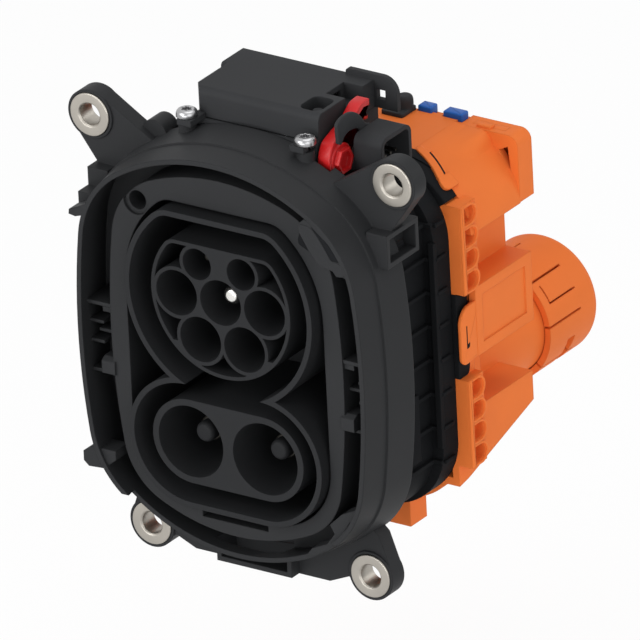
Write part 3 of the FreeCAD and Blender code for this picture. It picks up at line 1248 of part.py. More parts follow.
def release_lever():
    """Red lever: round hub with a hexagon socket and a bent arm that ends in a hook."""
    offsets = [
        (-4.6, 4.4), (-3.9, 6.8), (5.3, 9.3), (11.9, 13.6), (15.8, 13.8), (16.6, 13.6), (16.4, 11.3),
        (12.5, 11.9), (12.4, 9.9), (15.6, 8.5), (15.0, 7.4), (11.0, 6.2), (5.4, 2.4),
    ]
    arm = plate_x([(SHAFT_Y + dy, SHAFT_Z + dz) for dy, dz in offsets], LEVER_X0, LEVER_X1)
    hub = rod_x(LEVER_HUB_R, LEVER_X0, LEVER_X1, SHAFT_Y, SHAFT_Z)
    ring = rod_x(LEVER_RING_R, LEVER_X1 - 0.5, LEVER_X1 + 0.9, SHAFT_Y, SHAFT_Z)
    hexagon = []
    for k in range(6):
        angle = math.radians(60 * k)
        hexagon.append((SHAFT_Y + 3.4 * math.cos(angle), SHAFT_Z + 3.4 * math.sin(angle)))
    socket = plate_x(hexagon, LEVER_X0 + 3.1, LEVER_X1 + 2.0)
    bore = rod_x(SHAFT_R + 0.02, LEVER_X0 - 1, LEVER_X0 + 3.05, SHAFT_Y, SHAFT_Z)
    return one_solid(fuse_all([hub, arm, ring]).cut(socket).cut(bore))


def lever_guard():
    """Guard plate beside the lever, clipped to the plug hood."""
    low = HOOD_Z1
    form = [
        (HOOD_Y0 - 8.1, low + 0.5), (HOOD_Y0 - 8.2, low + 6.5), (HOOD_Y0 - 1.3, low + 7.5),
        (HOOD_Y0 + 4.1, low + 4.6), (HOOD_Y0 + 7.1, low + 0.6), (HOOD_Y0 + 10.0, low - 0.2),
        (HOOD_Y0 + 10.0, low - 2.6), (HOOD_Y0 + 3.6, low - 2.6), (HOOD_Y0 + 3.0, low + 0.5),
    ]
    return one_solid(plate_x(form, HOOD_X0 - 1.3, HOOD_X0))


def hood_outline(shrink):
    return [
        (HOOD_Y0 + shrink, HOOD_Z0 + shrink), (HOOD_Y1 - shrink, HOOD_Z0 + shrink),
        (HOOD_Y1 - shrink, HOOD_Z1 - shrink), (HOOD_Y0 + shrink, HOOD_Z1 - shrink),
    ]


def actuator_plug_hood():
    """Connector hood with rounded corners, open towards +X, closed behind the blades."""
    outer = plate_x(hood_outline(0.0), HOOD_X0, HOOD_X1, 3.2)
    inner = plate_x(hood_outline(1.4), HOOD_X0 + 2.0, HOOD_X1 + 1, 1.8)
    foot = box(HOOD_X0, HOOD_X0 + 3.0, HOOD_Y0 + 4.4, HOOD_Y1 - 3.0, HOOD_Z0, HOOD_Z0 + 0.4)
    key_y = (HOOD_Y0 + HOOD_Y1) / 2.0
    key = box(HOOD_X0 + 2.0, HOOD_X1 - 2.0, key_y - 1.0, key_y + 1.0, HOOD_Z1 - 2.6, HOOD_Z1 - 1.0)
    slots = [hood_blade(y, -1.0, 3.0, 0.45) for y in hood_pin_rows()]
    return one_solid(fuse_all([outer.cut(inner), foot, key]).cut(fuse_all(slots)))


def hood_pin_rows():
    """Places in Y of the four blades."""
    return [HOOD_Y0 + 3.8 + 2.8 * i for i in range(4)]


def hood_blade(y, x0, x1, half):
    return box(HOOD_X0 + x0, HOOD_X0 + x1, y - half, y + half, BLADE_Z - half, BLADE_Z + half)


def hood_contacts():
    """Four blades in the back wall of the hood."""
    return Part.makeCompound([hood_blade(y, -0.9, 7.0, 0.4) for y in hood_pin_rows()])


def parts():
    made = {
        "flange_housing": flange_housing(),
        "socket_collar": socket_collar(),
        "socket_body": socket_body(),
        "ac_contact_carrier": ac_contact_carrier(),
        "dc_contact_carrier": dc_contact_carrier(),
        "pe_contact": pe_contact(),
        "cp_contact": signal_contact("cp"),
        "pp_contact": signal_contact("pp"),
        "dc_plus_contact": dc_contact(1),
        "dc_minus_contact": dc_contact(-1),
        "dc_plus_tip_cap": dc_tip_cap(1),
        "dc_minus_tip_cap": dc_tip_cap(-1),
        "contact_retainer": contact_retainer(),
        "sensor_board": sensor_board(),
        "rear_frame": rear_frame(),
        "cover_seal": cover_seal(),
        "rear_cover": rear_cover(),
        "right_gland_cap": gland_cap(1),
        "left_gland_cap": gland_cap(-1),
        "right_cable_seal": cable_seal(1),
        "left_cable_seal": cable_seal(-1),
        "actuator_base": actuator_base(),
        "actuator_cover": actuator_cover(),
        "actuator_screws": actuator_screws(),
        "crank_shaft": crank_shaft(),
        "locking_pin": locking_pin(),
        "worm_shaft": worm_shaft(),
        "lock_motor": lock_motor(),
        "release_lever": release_lever(),
        "lever_guard": lever_guard(),
        "actuator_plug_hood": actuator_plug_hood(),
        "hood_contacts": hood_contacts(),
        "lock_base": lock_base(),
        "inner_position_lock": position_lock(0),
        "outer_position_lock": position_lock(1),
    }
    names = ["upper_left_sleeve", "upper_right_sleeve", "lower_left_sleeve", "lower_right_sleeve"]
    for name, (x, z) in zip(names, mount_points()):
        made[name] = mounting_sleeve(x, z)
    return made


def main():
    os.makedirs("parts", exist_ok=True)
    for name, shape in parts().items():
        shape.exportStep(os.path.join("parts", name + ".step"))
        bounds = shape.BoundBox
        print(name, len(shape.Solids), "valid" if shape.isValid() else "INVALID", round(shape.Volume),
              [round(v, 1) for v in (bounds.XMin, bounds.XMax, bounds.YMin, bounds.YMax, bounds.ZMin, bounds.ZMax)])


main()
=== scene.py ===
import json
import math

import bmesh
import bpy
import numpy as np
from mathutils import Matrix, Vector


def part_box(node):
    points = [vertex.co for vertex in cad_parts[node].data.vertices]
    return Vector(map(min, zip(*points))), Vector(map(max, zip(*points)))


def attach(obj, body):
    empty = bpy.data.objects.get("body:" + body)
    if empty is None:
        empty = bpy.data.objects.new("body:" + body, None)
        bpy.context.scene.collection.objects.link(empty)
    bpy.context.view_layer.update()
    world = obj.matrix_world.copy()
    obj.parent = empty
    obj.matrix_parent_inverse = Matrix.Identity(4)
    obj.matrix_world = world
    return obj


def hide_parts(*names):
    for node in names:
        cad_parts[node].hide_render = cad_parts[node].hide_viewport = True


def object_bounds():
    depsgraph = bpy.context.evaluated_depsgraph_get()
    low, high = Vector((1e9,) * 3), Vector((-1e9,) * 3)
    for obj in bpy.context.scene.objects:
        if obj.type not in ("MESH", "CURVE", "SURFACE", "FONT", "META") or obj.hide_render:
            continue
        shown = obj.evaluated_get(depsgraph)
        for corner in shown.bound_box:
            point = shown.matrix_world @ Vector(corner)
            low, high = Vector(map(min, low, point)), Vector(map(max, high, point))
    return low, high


bl_info = {
    "name": "Charging inlet",
    "version": (1, 0, 0),
    "blender": (4, 5, 0),
    "location": "View3D > Sidebar > Inlet",
    "description": "Dresses a vehicle charging inlet: moulded housings, contacts, seals and lock parts",
    "category": "Object",
}

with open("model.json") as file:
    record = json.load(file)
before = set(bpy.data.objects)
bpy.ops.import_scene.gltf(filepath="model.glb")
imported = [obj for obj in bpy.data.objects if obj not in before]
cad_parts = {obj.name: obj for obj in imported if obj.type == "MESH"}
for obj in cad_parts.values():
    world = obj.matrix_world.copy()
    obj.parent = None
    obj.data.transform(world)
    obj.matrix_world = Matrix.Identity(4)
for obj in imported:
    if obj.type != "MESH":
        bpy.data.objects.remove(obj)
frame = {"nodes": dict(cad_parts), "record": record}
CAD_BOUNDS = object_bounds()
MM = 0.001
WELD = 1e-6                             # metres; points closer than this are one
SHARP = math.radians(32.0)              # edges that bend more stay sharp

# Places of the solids that the pieces below are fitted to, in millimetres
CONTACT_SEAT_Y = 42.5                   # the contacts' shoulders rest here
CONTACT_COLLAR_Y = 45.0                 # rear face of the contacts' shoulders
LEVER_SHAFT = np.array([26.5, 43.0])    # Y and Z of the lever's axis
SCREW_X = 21.5                          # the two screws stand at plus and minus this
KNOB_X = 14.2                           # the knob on the lock strip
CORNER_R = 24.0                         # the orange cover's upper corners
CROWN_CENTRE_Z = 10.0                   # height of the centre of the crown's corners
BOX_TOP = 33.4                          # top of the cover's shoulder boxes
BAR_LOW_ENDS = (-6.0, -63.5)            # lower ends of the two pocketed bars
BAR_LENGTH = 29.2
FRAME_FACE_Y = 2.0                      # front face of the housing's inner frame


def node_span(node):
    """Lowest and highest corner of a node, in millimetres."""
    low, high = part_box(node)
    return np.array(low) / MM, np.array(high) / MM


def node_centre(node):
    """X and Z of the middle of a node's box."""
    low, high = node_span(node)
    return (low[0] + high[0]) / 2.0, (low[2] + high[2]) / 2.0


# Sizes and colours that a user may change

def colour(label, text, value):
    """A colour on the panel."""
    return bpy.props.FloatVectorProperty(
        name=label, description=text, default=value, min=0.0, max=1.0, size=3, subtype="COLOR")


def length(label, text, value):
    """A length on the panel, in metres."""
    return bpy.props.FloatProperty(
        name=label, description=text, default=value, min=0.0, max=20.0, unit="LENGTH", subtype="DISTANCE")


def power(label, text, value):
    """A lamp's power on the panel, in watts."""
    return bpy.props.FloatProperty(name=label, description=text, default=value, min=0.0, unit="POWER")


def factor(label, text, value):
    """A number from 0 to 1 on the panel."""
    return bpy.props.FloatProperty(
        name=label, description=text, default=value, min=0.0, max=1.0, subtype="FACTOR")


class InletColours(bpy.types.PropertyGroup):
    """Colours of the plastics and metals"""

    housing: colour("Housing", "Black plastic of the flange housing", (0.0225, 0.0231, 0.0243))
    insert: colour("Inserts", "Black plastic of the carriers and the collar", (0.0200, 0.0206, 0.0218))
    rear: colour("Rear frame", "Black plastic of the ribbed rear frame", (0.0115, 0.0120, 0.0130))
    actuator: colour("Actuator", "Dark grey plastic of the lock actuator", (0.0335, 0.0343, 0.0360))
    cover: colour("Cover", "High-voltage orange of the rear cover and its gland caps", (0.820, 0.188, 0.038))
    lever: colour("Lever", "Red of the emergency release lever", (0.500, 0.011, 0.012))
    lock: colour("Locks", "Blue of the two sliding locks", (0.004, 0.095, 0.400))
    sleeve: colour("Sleeves", "Nickel plating of the mounting sleeves", (0.400, 0.375, 0.335))
    steel: colour("Steel", "Screws, shafts and the locking pin", (0.600, 0.600, 0.610))
    silver: colour("Silver", "Plating of the earth contact", (0.820, 0.805, 0.770))
    # painted shade: the contacts' metal is darkened to stand for the shade of the deep holes and the hood
    # they sit in
    contacts_painted_shade: colour("Contacts", "Dull plating of the other contacts", (0.060, 0.056, 0.050))


class InletSizes(bpy.types.PropertyGroup):
    """Softened edges, rounded corners and the strength of the grain"""

    plastic_edge: length("Plastic edge", "Radius of the softened edges of moulded parts", 0.0004)
    metal_edge: length("Metal edge", "Radius of the softened edges of turned parts", 0.00025)
    sleeve_round: length("Sleeve rounding", "Rounding of the sleeve's flange", 0.0004)
    nose_round: length("Pin rounding", "Rounding of the contact pins' noses", 0.0006)
    lever_round: length("Lever rounding", "Rounding along the lever's edges", 0.0006)
    lock_round: length("Lock rounding", "Rounding of the blue locks' corners", 0.0006)
    grain: factor("Grain", "Strength of the spark-eroded grain on black plastic", 0.16)


class InletStage(bpy.types.PropertyGroup):
    """Lamps, soft light and the place of the floor"""

    key: power("Key", "Lamp from the front left", 7.8)
    fill: power("Fill", "Lamp from the right", 3.4)
    top: power("Top", "Lamp from above", 4.6)
    low: power("Low", "Lamp low in front", 4.2)
    rim: power("Rim", "Lamp from behind", 1.6)
    sky: factor("Sky", "Strength of the soft light all round", 0.40)
    drop: length("Floor drop", "Room between the part and the floor", 0.06)


# Shader maths

class Wire:
    """A node's output that can be used in sums and products."""

    def __init__(self, tree, socket):
        self.tree = tree
        self.socket = socket

    def _math(self, operation, other):
        return Nodes(self.tree).node("ShaderNodeMath", {"operation": operation}, {0: self, 1: other})

    def __add__(self, other):
        return self._math("ADD", other)

    __radd__ = __add__

    def __mul__(self, other):
        return self._math("MULTIPLY", other)

    __rmul__ = __mul__


class Nodes:
    """Adds nodes to one tree."""

    def __init__(self, tree):
        self.tree = tree

    def node(self, kind, settings=None, values=None, output=0):
        """Adds a node: its settings first, then the values or links of its sockets. The answer is one
        of its outputs, or nothing for a node that has none."""
        made = self.tree.nodes.new(kind)
        for key, value in (settings or {}).items():
            setattr(made, key, value)
        for key, value in (values or {}).items():
            self.fill(made.inputs[key], value)
        return Wire(self.tree, made.outputs[output]) if made.outputs else None

    def fill(self, socket, value):
        """Links a socket to a wire, or sets its value."""
        if isinstance(value, Wire):
            self.tree.links.new(value.socket, socket)
        else:
            socket.default_value = value


class Finish(Nodes):
    """One procedural material under construction."""

    def __init__(self, name):
        self.material = bpy.data.materials.new(name)
        self.material.use_nodes = True
        super().__init__(self.material.node_tree)
        self.tree.nodes.clear()
        self.shader = self.tree.nodes.new("ShaderNodeBsdfPrincipled")
        self.out = self.tree.nodes.new("ShaderNodeOutputMaterial")
        self.tree.links.new(self.shader.outputs["BSDF"], self.out.inputs["Surface"])
        self.place = self.node("ShaderNodeTexCoord", output="Object")

    def noise(self, scale, detail=2.0, roughness=0.5, stretch=None):
        """Noise on the object's own coordinates, drawn out along an axis where stretch is given."""
        place = self.place
        if stretch:
            place = self.node("ShaderNodeMapping", None, {"Vector": self.place, "Scale": stretch})
        return self.node(
            "ShaderNodeTexNoise", None,
            {"Vector": place, "Scale": scale, "Detail": detail, "Roughness": roughness},
        )

    def blend_colour(self, mask, first, second):
        """Mixes two colours by a mask between 0 and 1."""
        colours = {6: first, 7: second}
        for key, value in colours.items():
            if not isinstance(value, Wire):
                colours[key] = (*value, 1.0)
        return self.node("ShaderNodeMix", {"data_type": "RGBA"}, {0: mask, **colours}, output=2)

    def set(self, **values):
        """Sets the shader's own sockets; names use underscores in place of spaces."""
        for key, value in values.items():
            if isinstance(value, tuple):
                value = (*value, 1.0)
            self.fill(self.shader.inputs[key.replace("_", " ")], value)

    def relief(self, height, strength, distance, edge=0.0):
        """Bump from a height, over edges softened to the radius edge."""
        values = {"Height": height, "Strength": strength, "Distance": distance}
        if edge > 0.0:
            values["Normal"] = self.node("ShaderNodeBevel", {"samples": 4}, {"Radius": edge})
        self.set(Normal=self.node("ShaderNodeBump", None, values))


def shade(tone, amount):
    """A colour made lighter or darker by a factor."""
    return tuple(min(1.0, channel * amount) for channel in tone)


def moulded_plastic(name, tone, roughness, grain, edge, gloss):
    """Injection-moulded plastic: cloudy colour, faint flow lines, eroded grain and soft edges."""
    finish = Finish(name)
    cloud = finish.noise(45.0, 3.0)
    flow = finish.noise(90.0, 2.0, 0.5, (1.0, 0.25, 1.0))
    fine = finish.noise(2600.0, 3.0, 0.6)
    mask = cloud * 0.7 + flow * 0.3
    finish.set(
        Base_Color=finish.blend_colour(mask, shade(tone, 0.90), shade(tone, 1.12)),
        Roughness=cloud * 0.10 + fine * 0.08 + (roughness - 0.09),
        Specular_IOR_Level=gloss,
        Metallic=0.0,
    )
    finish.relief(fine, grain, 0.00012, edge)
    return finish.material


def turned_metal(name, tone, roughness, edge):
    """Plated, turned metal with fine tool marks and dull patches."""
    finish = Finish(name)
    cloud = finish.noise(160.0, 3.0)
    marks = finish.noise(5200.0, 2.0)
    finish.set(
        Base_Color=finish.blend_colour(cloud, shade(tone, 0.88), shade(tone, 1.10)),
        Roughness=cloud * 0.10 + marks * 0.06 + (roughness - 0.08),
        Metallic=1.0,
    )
    finish.relief(marks, 0.12, 0.00006, edge)
    return finish.material


def soft_rubber(name, tone):
    """Matt rubber with a fine skin."""
    finish = Finish(name)
    fine = finish.noise(1900.0, 2.0)
    finish.set(Base_Color=finish.blend_colour(fine, tone, shade(tone, 1.5)), Roughness=0.72)
    finish.relief(fine, 0.2, 0.0001, 0.0002)
    return finish.material


def make_finish(slot, name):
    """Makes the material of one record slot from the scene's colours and sizes."""
    tones = bpy.context.scene.inlet_colours
    sizes = bpy.context.scene.inlet_sizes
    edge, fine_edge = sizes.plastic_edge, sizes.metal_edge
    grain = sizes.grain
    if slot == "seal_rubber":
        return soft_rubber(name, (0.012, 0.012, 0.013))
    plastics = {                        # colour, roughness, grain, edge radius and gloss
        "housing_black": (tones.housing, 0.52, grain, edge * 1.6, 0.10),
        "insert_black": (tones.insert, 0.50, grain * 0.6, edge, 0.07),
        "frame_black": (tones.rear, 0.58, grain, edge, 0.02),
        "actuator_black": (tones.actuator, 0.54, grain, edge * 1.4, 0.045),
        "cover_orange": (tones.cover, 0.54, grain * 0.8, edge * 1.3, 0.10),
        "lever_red": (tones.lever, 0.36, grain * 0.4, edge, 0.30),
        "lock_blue": (tones.lock, 0.40, grain * 0.4, edge, 0.30),
        "board_green": ((0.012, 0.11, 0.04), 0.35, 0.05, fine_edge, 0.40),
    }
    metals = {                          # colour and roughness
        "sleeve_steel": (tones.sleeve, 0.42),
        "screw_steel": (shade(tones.steel, 0.62), 0.30),
        "machined_steel": (tones.steel, 0.32),
        "motor_steel": (shade(tones.steel, 0.95), 0.38),
        "bright_contact": (tones.silver, 0.22),
        # the dull contacts' dark colour is painted shade of their holes
        "dull_contact": (tones.contacts_painted_shade, 0.40),
    }
    if slot in plastics:
        tone, roughness, strength, radius, gloss = plastics[slot]
        return moulded_plastic(name, tuple(tone), roughness, strength, radius, gloss)
    tone, roughness = metals[slot]
    return turned_metal(name, tuple(tone), roughness, fine_edge)


def finish_for(slot):
    """The finish of a record slot, made once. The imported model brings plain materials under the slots'
    own names, so the finishes have names of their own."""
    name = slot + "_finish"
    return bpy.data.materials.get(name) or make_finish(slot, name)


NODE_SLOTS = {row["node"]: row["material_slot"] for row in frame["record"]["subparts"]}
BODY_OF = {node: body for body, nodes in frame["record"]["behaviour"]["bodies"].items() for node in nodes}


# Surfaces worked out with numpy; all lengths in millimetres

def soften(points, radius, closed=True, steps=4):
    """Polyline with rounded corners: each corner P becomes the curve (1-t)^2 A + 2t(1-t) P + t^2 B,
    where A and B lie on its two runs, at most radius away and never past the middle of a run."""
    p = np.asarray(points, float)
    before = np.roll(p, 1, axis=0) - p
    after = np.roll(p, -1, axis=0) - p
    reach_a = np.linalg.norm(before, axis=1, keepdims=True)
    reach_b = np.linalg.norm(after, axis=1, keepdims=True)
    r = np.broadcast_to(np.asarray(radius, float), (len(p),))[:, None]
    a = p + before / reach_a * np.minimum(r, 0.49 * reach_a)
    b = p + after / reach_b * np.minimum(r, 0.49 * reach_b)
    t = np.linspace(0.0, 1.0, steps + 1)[None, :, None]
    curve = (1 - t) ** 2 * a[:, None] + 2 * t * (1 - t) * p[:, None] + t ** 2 * b[:, None]
    if closed:
        return curve.reshape(-1, p.shape[1])
    inner = curve[1:-1].reshape(-1, p.shape[1])
    return np.vstack([p[:1], inner, p[-1:]])


def grid_faces(rows, columns, wrap_rows=False):
    """Quads between neighbouring points of a grid, numbered row by row; each row is a ring."""
    i = np.arange(rows if wrap_rows else rows - 1)[:, None]
    j = np.arange(columns)[None, :]
    i1 = (i + 1) % rows
    j1 = (j + 1) % columns
    quads = np.stack([i * columns + j, i * columns + j1, i1 * columns + j1, i1 * columns + j], axis=-1)
    return quads.reshape(-1, 4)


def tube(points):
    """Closed shell from a grid of points: each row is a ring, and the first and the last are filled."""
    rows, columns = points.shape[:2]
    last = (rows - 1) * columns
    ends = [list(range(columns)), list(range(last + columns - 1, last - 1, -1))]
    return points.reshape(-1, 3), grid_faces(rows, columns), ends


def along(axis, first, second, height):
    """Points from two coordinates across an axis and one along it; the axis is X, Y or Z."""
    order = {"X": (height, first, second), "Y": (first, height, second), "Z": (first, second, height)}
    return np.stack(np.broadcast_arrays(*order[axis]), axis=-1)


def turned(profile, axis, centre, closed=True, form=None, steps=72):
    """Surface of revolution: the point at (radius r, place h) of the profile goes round the axis as
    (c1 + r f cos a, c2 + r f sin a, h); f is 1, or form(a) where the profile's third column is 1."""
    profile = np.asarray(profile, float)
    angle = np.linspace(0.0, 2.0 * math.pi, steps, endpoint=False)[None, :]
    shape = np.ones_like(angle) if form is None else form(angle)
    weight = profile[:, 2:3] if profile.shape[1] > 2 else np.zeros((len(profile), 1))
    radius = profile[:, 0:1] * (1.0 + weight * (shape - 1.0))
    first = centre[0] + radius * np.cos(angle)
    second = centre[1] + radius * np.sin(angle)
    points = along(axis, first, second, profile[:, 1:2])
    return points.reshape(-1, 3), grid_faces(len(profile), steps, closed), []


def slab(outline, axis, low, high, edge, steps=4):
    """Plate with rounded edges: the outline is carried along the axis while it moves inwards by
    e (1 - sin q) and along by e (1 - cos q) at both ends, q from 0 to a right angle; flat ends."""
    outline = np.asarray(outline, float)
    run = np.roll(outline, -1, axis=0) - np.roll(outline, 1, axis=0)
    normal = np.stack([run[:, 1], -run[:, 0]], axis=1)
    normal /= np.maximum(np.linalg.norm(normal, axis=1, keepdims=True), 1e-9)
    x, y = outline[:, 0], outline[:, 1]
    if np.sum(x * np.roll(y, -1) - np.roll(x, -1) * y) < 0:
        normal = -normal
    q = np.linspace(0.0, math.pi / 2.0, steps + 1)
    inset = np.concatenate([edge * (1 - np.sin(q)), edge * (1 - np.sin(q[::-1]))])
    height = np.concatenate([low + edge * (1 - np.cos(q)), high - edge * (1 - np.cos(q[::-1]))])
    flat = outline[None] - normal[None] * inset[:, None, None]
    return tube(along(axis, flat[..., 0], flat[..., 1], height[:, None]))


def strap(degrees, front, rear, inner, outer, centre):
    """Strap bent round an axis along Y: at angle a its section is a soft rectangle from front(a) to
    rear(a) along Y and from radius inner to outer, placed at (c1 + r cos a, y, c2 + r sin a)."""
    section = soften([(0, 0), (1, 0), (1, 1), (0, 1)], [0.02, 0.02, 0.16, 0.16])
    a = np.radians(degrees)[:, None]
    low = np.broadcast_to(front, degrees.shape)[:, None]
    high = np.broadcast_to(rear, degrees.shape)[:, None]
    y = low + section[None, :, 0] * (high - low)
    r = inner + section[None, :, 1] * (outer - inner)
    return tube(along("Y", centre[0] + r * np.cos(a), centre[1] + r * np.sin(a), y))


def mirrored(shells):
    """The shells and their mirror images in X."""
    flip = np.array([-1.0, 1.0, 1.0])
    return shells + [(points * flip, quads, ends) for points, quads, ends in shells]


def smooth_group():
    """Node group that welds loose triangles and smooths all but the sharp edges."""
    name = "weld_and_smooth"
    if name in bpy.data.node_groups:
        return bpy.data.node_groups[name]
    group = bpy.data.node_groups.new(name, "GeometryNodeTree")
    for direction in ("INPUT", "OUTPUT"):
        group.interface.new_socket("Geometry", in_out=direction, socket_type="NodeSocketGeometry")
    node = Nodes(group).node
    welded = node("GeometryNodeMergeByDistance", None, {"Geometry": node("NodeGroupInput"), "Distance": WELD})
    angle = node("GeometryNodeInputMeshEdgeAngle", output="Unsigned Angle")
    soft = node("ShaderNodeMath", {"operation": "LESS_THAN"}, {0: angle, 1: SHARP})
    faces = node("GeometryNodeSetShadeSmooth", {"domain": "FACE"}, {"Geometry": welded})
    edges = node("GeometryNodeSetShadeSmooth", {"domain": "EDGE"}, {"Geometry": faces, "Shade Smooth": soft})
    node("NodeGroupOutput", None, {"Geometry": edges})
    return group


def smooth(obj):
    """Adds the modifier that welds and smooths."""
    obj.modifiers.new("smooth", "NODES").node_group = smooth_group()


def make_piece(name, shells, slot, nodes=(), body=None):
    """One object from closed shells; it replaces the named nodes and rides on their body."""
    points, faces, start = [], [], 0
    for shell_points, quads, ends in shells:
        points.append(shell_points)
        faces += (quads + start).tolist() + [(np.array(end) + start).tolist() for end in ends]
        start += len(shell_points)
    mesh = bpy.data.meshes.new(name)
    mesh.from_pydata((np.vstack(points) * MM).tolist(), [], faces)
    work = bmesh.new()
    work.from_mesh(mesh)
    bmesh.ops.remove_doubles(work, verts=work.verts, dist=1e-7)
    bmesh.ops.recalc_face_normals(work, faces=work.faces)
    for face in work.faces:
        face.smooth = True
    work.to_mesh(mesh)
    work.free()
    mesh.materials.append(finish_for(slot))
    obj = bpy.data.objects.new(name, mesh)
    bpy.context.scene.collection.objects.link(obj)
    smooth(obj)
    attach(obj, body or BODY_OF[nodes[0]])
    if nodes:
        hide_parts(*nodes)


def make_trim(name, shells, slot):
    """One object from shells and their mirror images; it replaces no node and rides on the housing."""
    make_piece(name, mirrored(shells), slot, body="housing")


class INLET_OT_finish_frame(bpy.types.Operator):
    """Gives every modelled node its finish and smooth shading"""

    bl_idname = "inlet.finish_frame"
    bl_label = "Finish the frame"

    def execute(self, context):
        for name, obj in frame["nodes"].items():
            obj.data.materials.clear()
            # the hood's contacts take the darkened contact finish: painted shade of the hood's inside
            slot = "dull_contact" if name == "hood_contacts" else NODE_SLOTS[name]
            obj.data.materials.append(finish_for(slot))
            smooth(obj)
        return {"FINISHED"}


class INLET_OT_sleeves(bpy.types.Operator):
    """Turns the four steel sleeves of the mounting ears"""

    bl_idname = "inlet.sleeves"
    bl_label = "Mounting sleeves"

    def execute(self, context):
        edge = context.scene.inlet_sizes.sleeve_round / MM
        bore, mouth, tube_r, flange_y = 3.55, 4.1, 5.0, 1.0
        for node in ("upper_left_sleeve", "upper_right_sleeve", "lower_left_sleeve", "lower_right_sleeve"):
            low, high = node_span(node)
            front, rear = low[1], high[1]
            flange = (high[0] - low[0]) / 2.0
            section = [
                (bore, rear), (bore, front + 0.55), (mouth, front), (flange, front),
                (flange, front + flange_y), (tube_r, front + flange_y), (tube_r, rear),
            ]
            path = soften(section, [0.2, 0.1, 0.15, edge, 0.1, 0.1, 0.2])
            make_piece(node + "_turned", [turned(path, "Y", node_centre(node))], "sleeve_steel", [node])
        return {"FINISHED"}


class INLET_OT_contacts(bpy.types.Operator):
    """Turns the contact pins and the caps on the large ones"""

    bl_idname = "inlet.contacts"
    bl_label = "Contacts"

    def execute(self, context):
        nose = context.scene.inlet_sizes.nose_round / MM
        self.signal_pins(nose)
        self.power_pins(nose)
        return {"FINISHED"}

    def pin(self, node, slot, radius, tip, shoulder, barrel, wire, nose):
        """Pin with a coned nose, root, shoulder and bored crimp barrel. The tip is the cone's length,
        the nose is its rounding, and the rest are radii."""
        low, high = node_span(node)
        front, rear = low[1], high[1]
        seat, collar_y = CONTACT_SEAT_Y, CONTACT_COLLAR_Y
        root, root_y, bore_y = radius + 0.6, 28.0, rear - 0.42 * (rear - seat)
        section = [
            (0.0, front), (radius - tip, front), (radius, front + tip), (radius, root_y), (root, root_y),
            (root, seat), (shoulder, seat), (shoulder, collar_y), (barrel, collar_y), (barrel, rear),
            (wire, rear), (wire, bore_y), (0.0, bore_y),
        ]
        path = soften(section, [0.0, nose, nose] + [0.15] * 9 + [0.0], closed=False)
        make_piece(node + "_turned", [turned(path, "Y", node_centre(node), closed=False)], slot, [node])

    def signal_pins(self, nose):
        self.pin("pe_contact", "bright_contact", 3.0, 1.2, 6.0, 4.6, 3.4, nose)
        for node in ("cp_contact", "pp_contact"):
            self.pin(node, "dull_contact", 1.5, 0.6, 3.6, 2.6, 1.7, nose * 0.6)

    def power_pins(self, nose):
        for side in ("plus", "minus"):
            cap = "dc_%s_tip_cap" % side
            centre = node_centre(cap)
            self.tip_cap(cap, centre, nose)
            self.power_pin("dc_%s_contact" % side, centre, node_span(cap)[1][1], nose)

    def tip_cap(self, node, centre, nose):
        """Cup that fits on the pin's core: a flat top, a cone and a straight wall, open to the rear."""
        low, high = node_span(node)
        front, rear = low[1], high[1]
        flat, wall, core, top = 2.55, 3.3, 2.02, 1.0
        section = [
            (0.0, front), (flat, front), (wall, front + 1.1), (wall, rear), (core, rear),
            (core, front + top), (0.0, front + top),
        ]
        path = soften(section, [0, nose, nose, 0.1, 0.05, 0.05, 0], closed=False)
        make_piece(node + "_turned", [turned(path, "Y", centre, closed=False)], "insert_black", [node])

    def power_pin(self, node, centre, cap_y, nose):
        """Pin with a core for its cap, root, shoulder and bored crimp barrel."""
        low, high = node_span(node)
        front, rear = low[1], high[1]
        core, radius, root, shoulder, barrel, wire = 2.0, 4.0, 4.6, 9.3, 7.7, 6.0
        seat, collar_y = CONTACT_SEAT_Y, CONTACT_COLLAR_Y
        root_y, bore_y = 32.0, rear - 24.0
        section = [
            (0.0, front), (core, front), (core, cap_y), (radius, cap_y), (radius, root_y), (root, root_y),
            (root, seat), (shoulder, seat), (shoulder, collar_y), (barrel, collar_y), (barrel, rear),
            (wire, rear), (wire, bore_y), (0.0, bore_y),
        ]
        path = soften(section, [0, 0.1, 0.05, nose] + [0.15] * 9 + [0], closed=False)
        make_piece(node + "_turned", [turned(path, "Y", centre, closed=False)], "dull_contact", [node])


def hexagon(angle):
    """Radius of a hexagon with corners at radius 1: cos 30 over cos of the angle to the nearest flat."""
    sixth = math.pi / 3.0
    return math.cos(sixth / 2.0) / np.cos(np.mod(angle, sixth) - sixth / 2.0)


def six_lobes(angle):
    """Radius of a six-lobed recess: 1 with a ripple of 17 percent, six times round."""
    return 1.0 + 0.17 * np.cos(6.0 * angle)


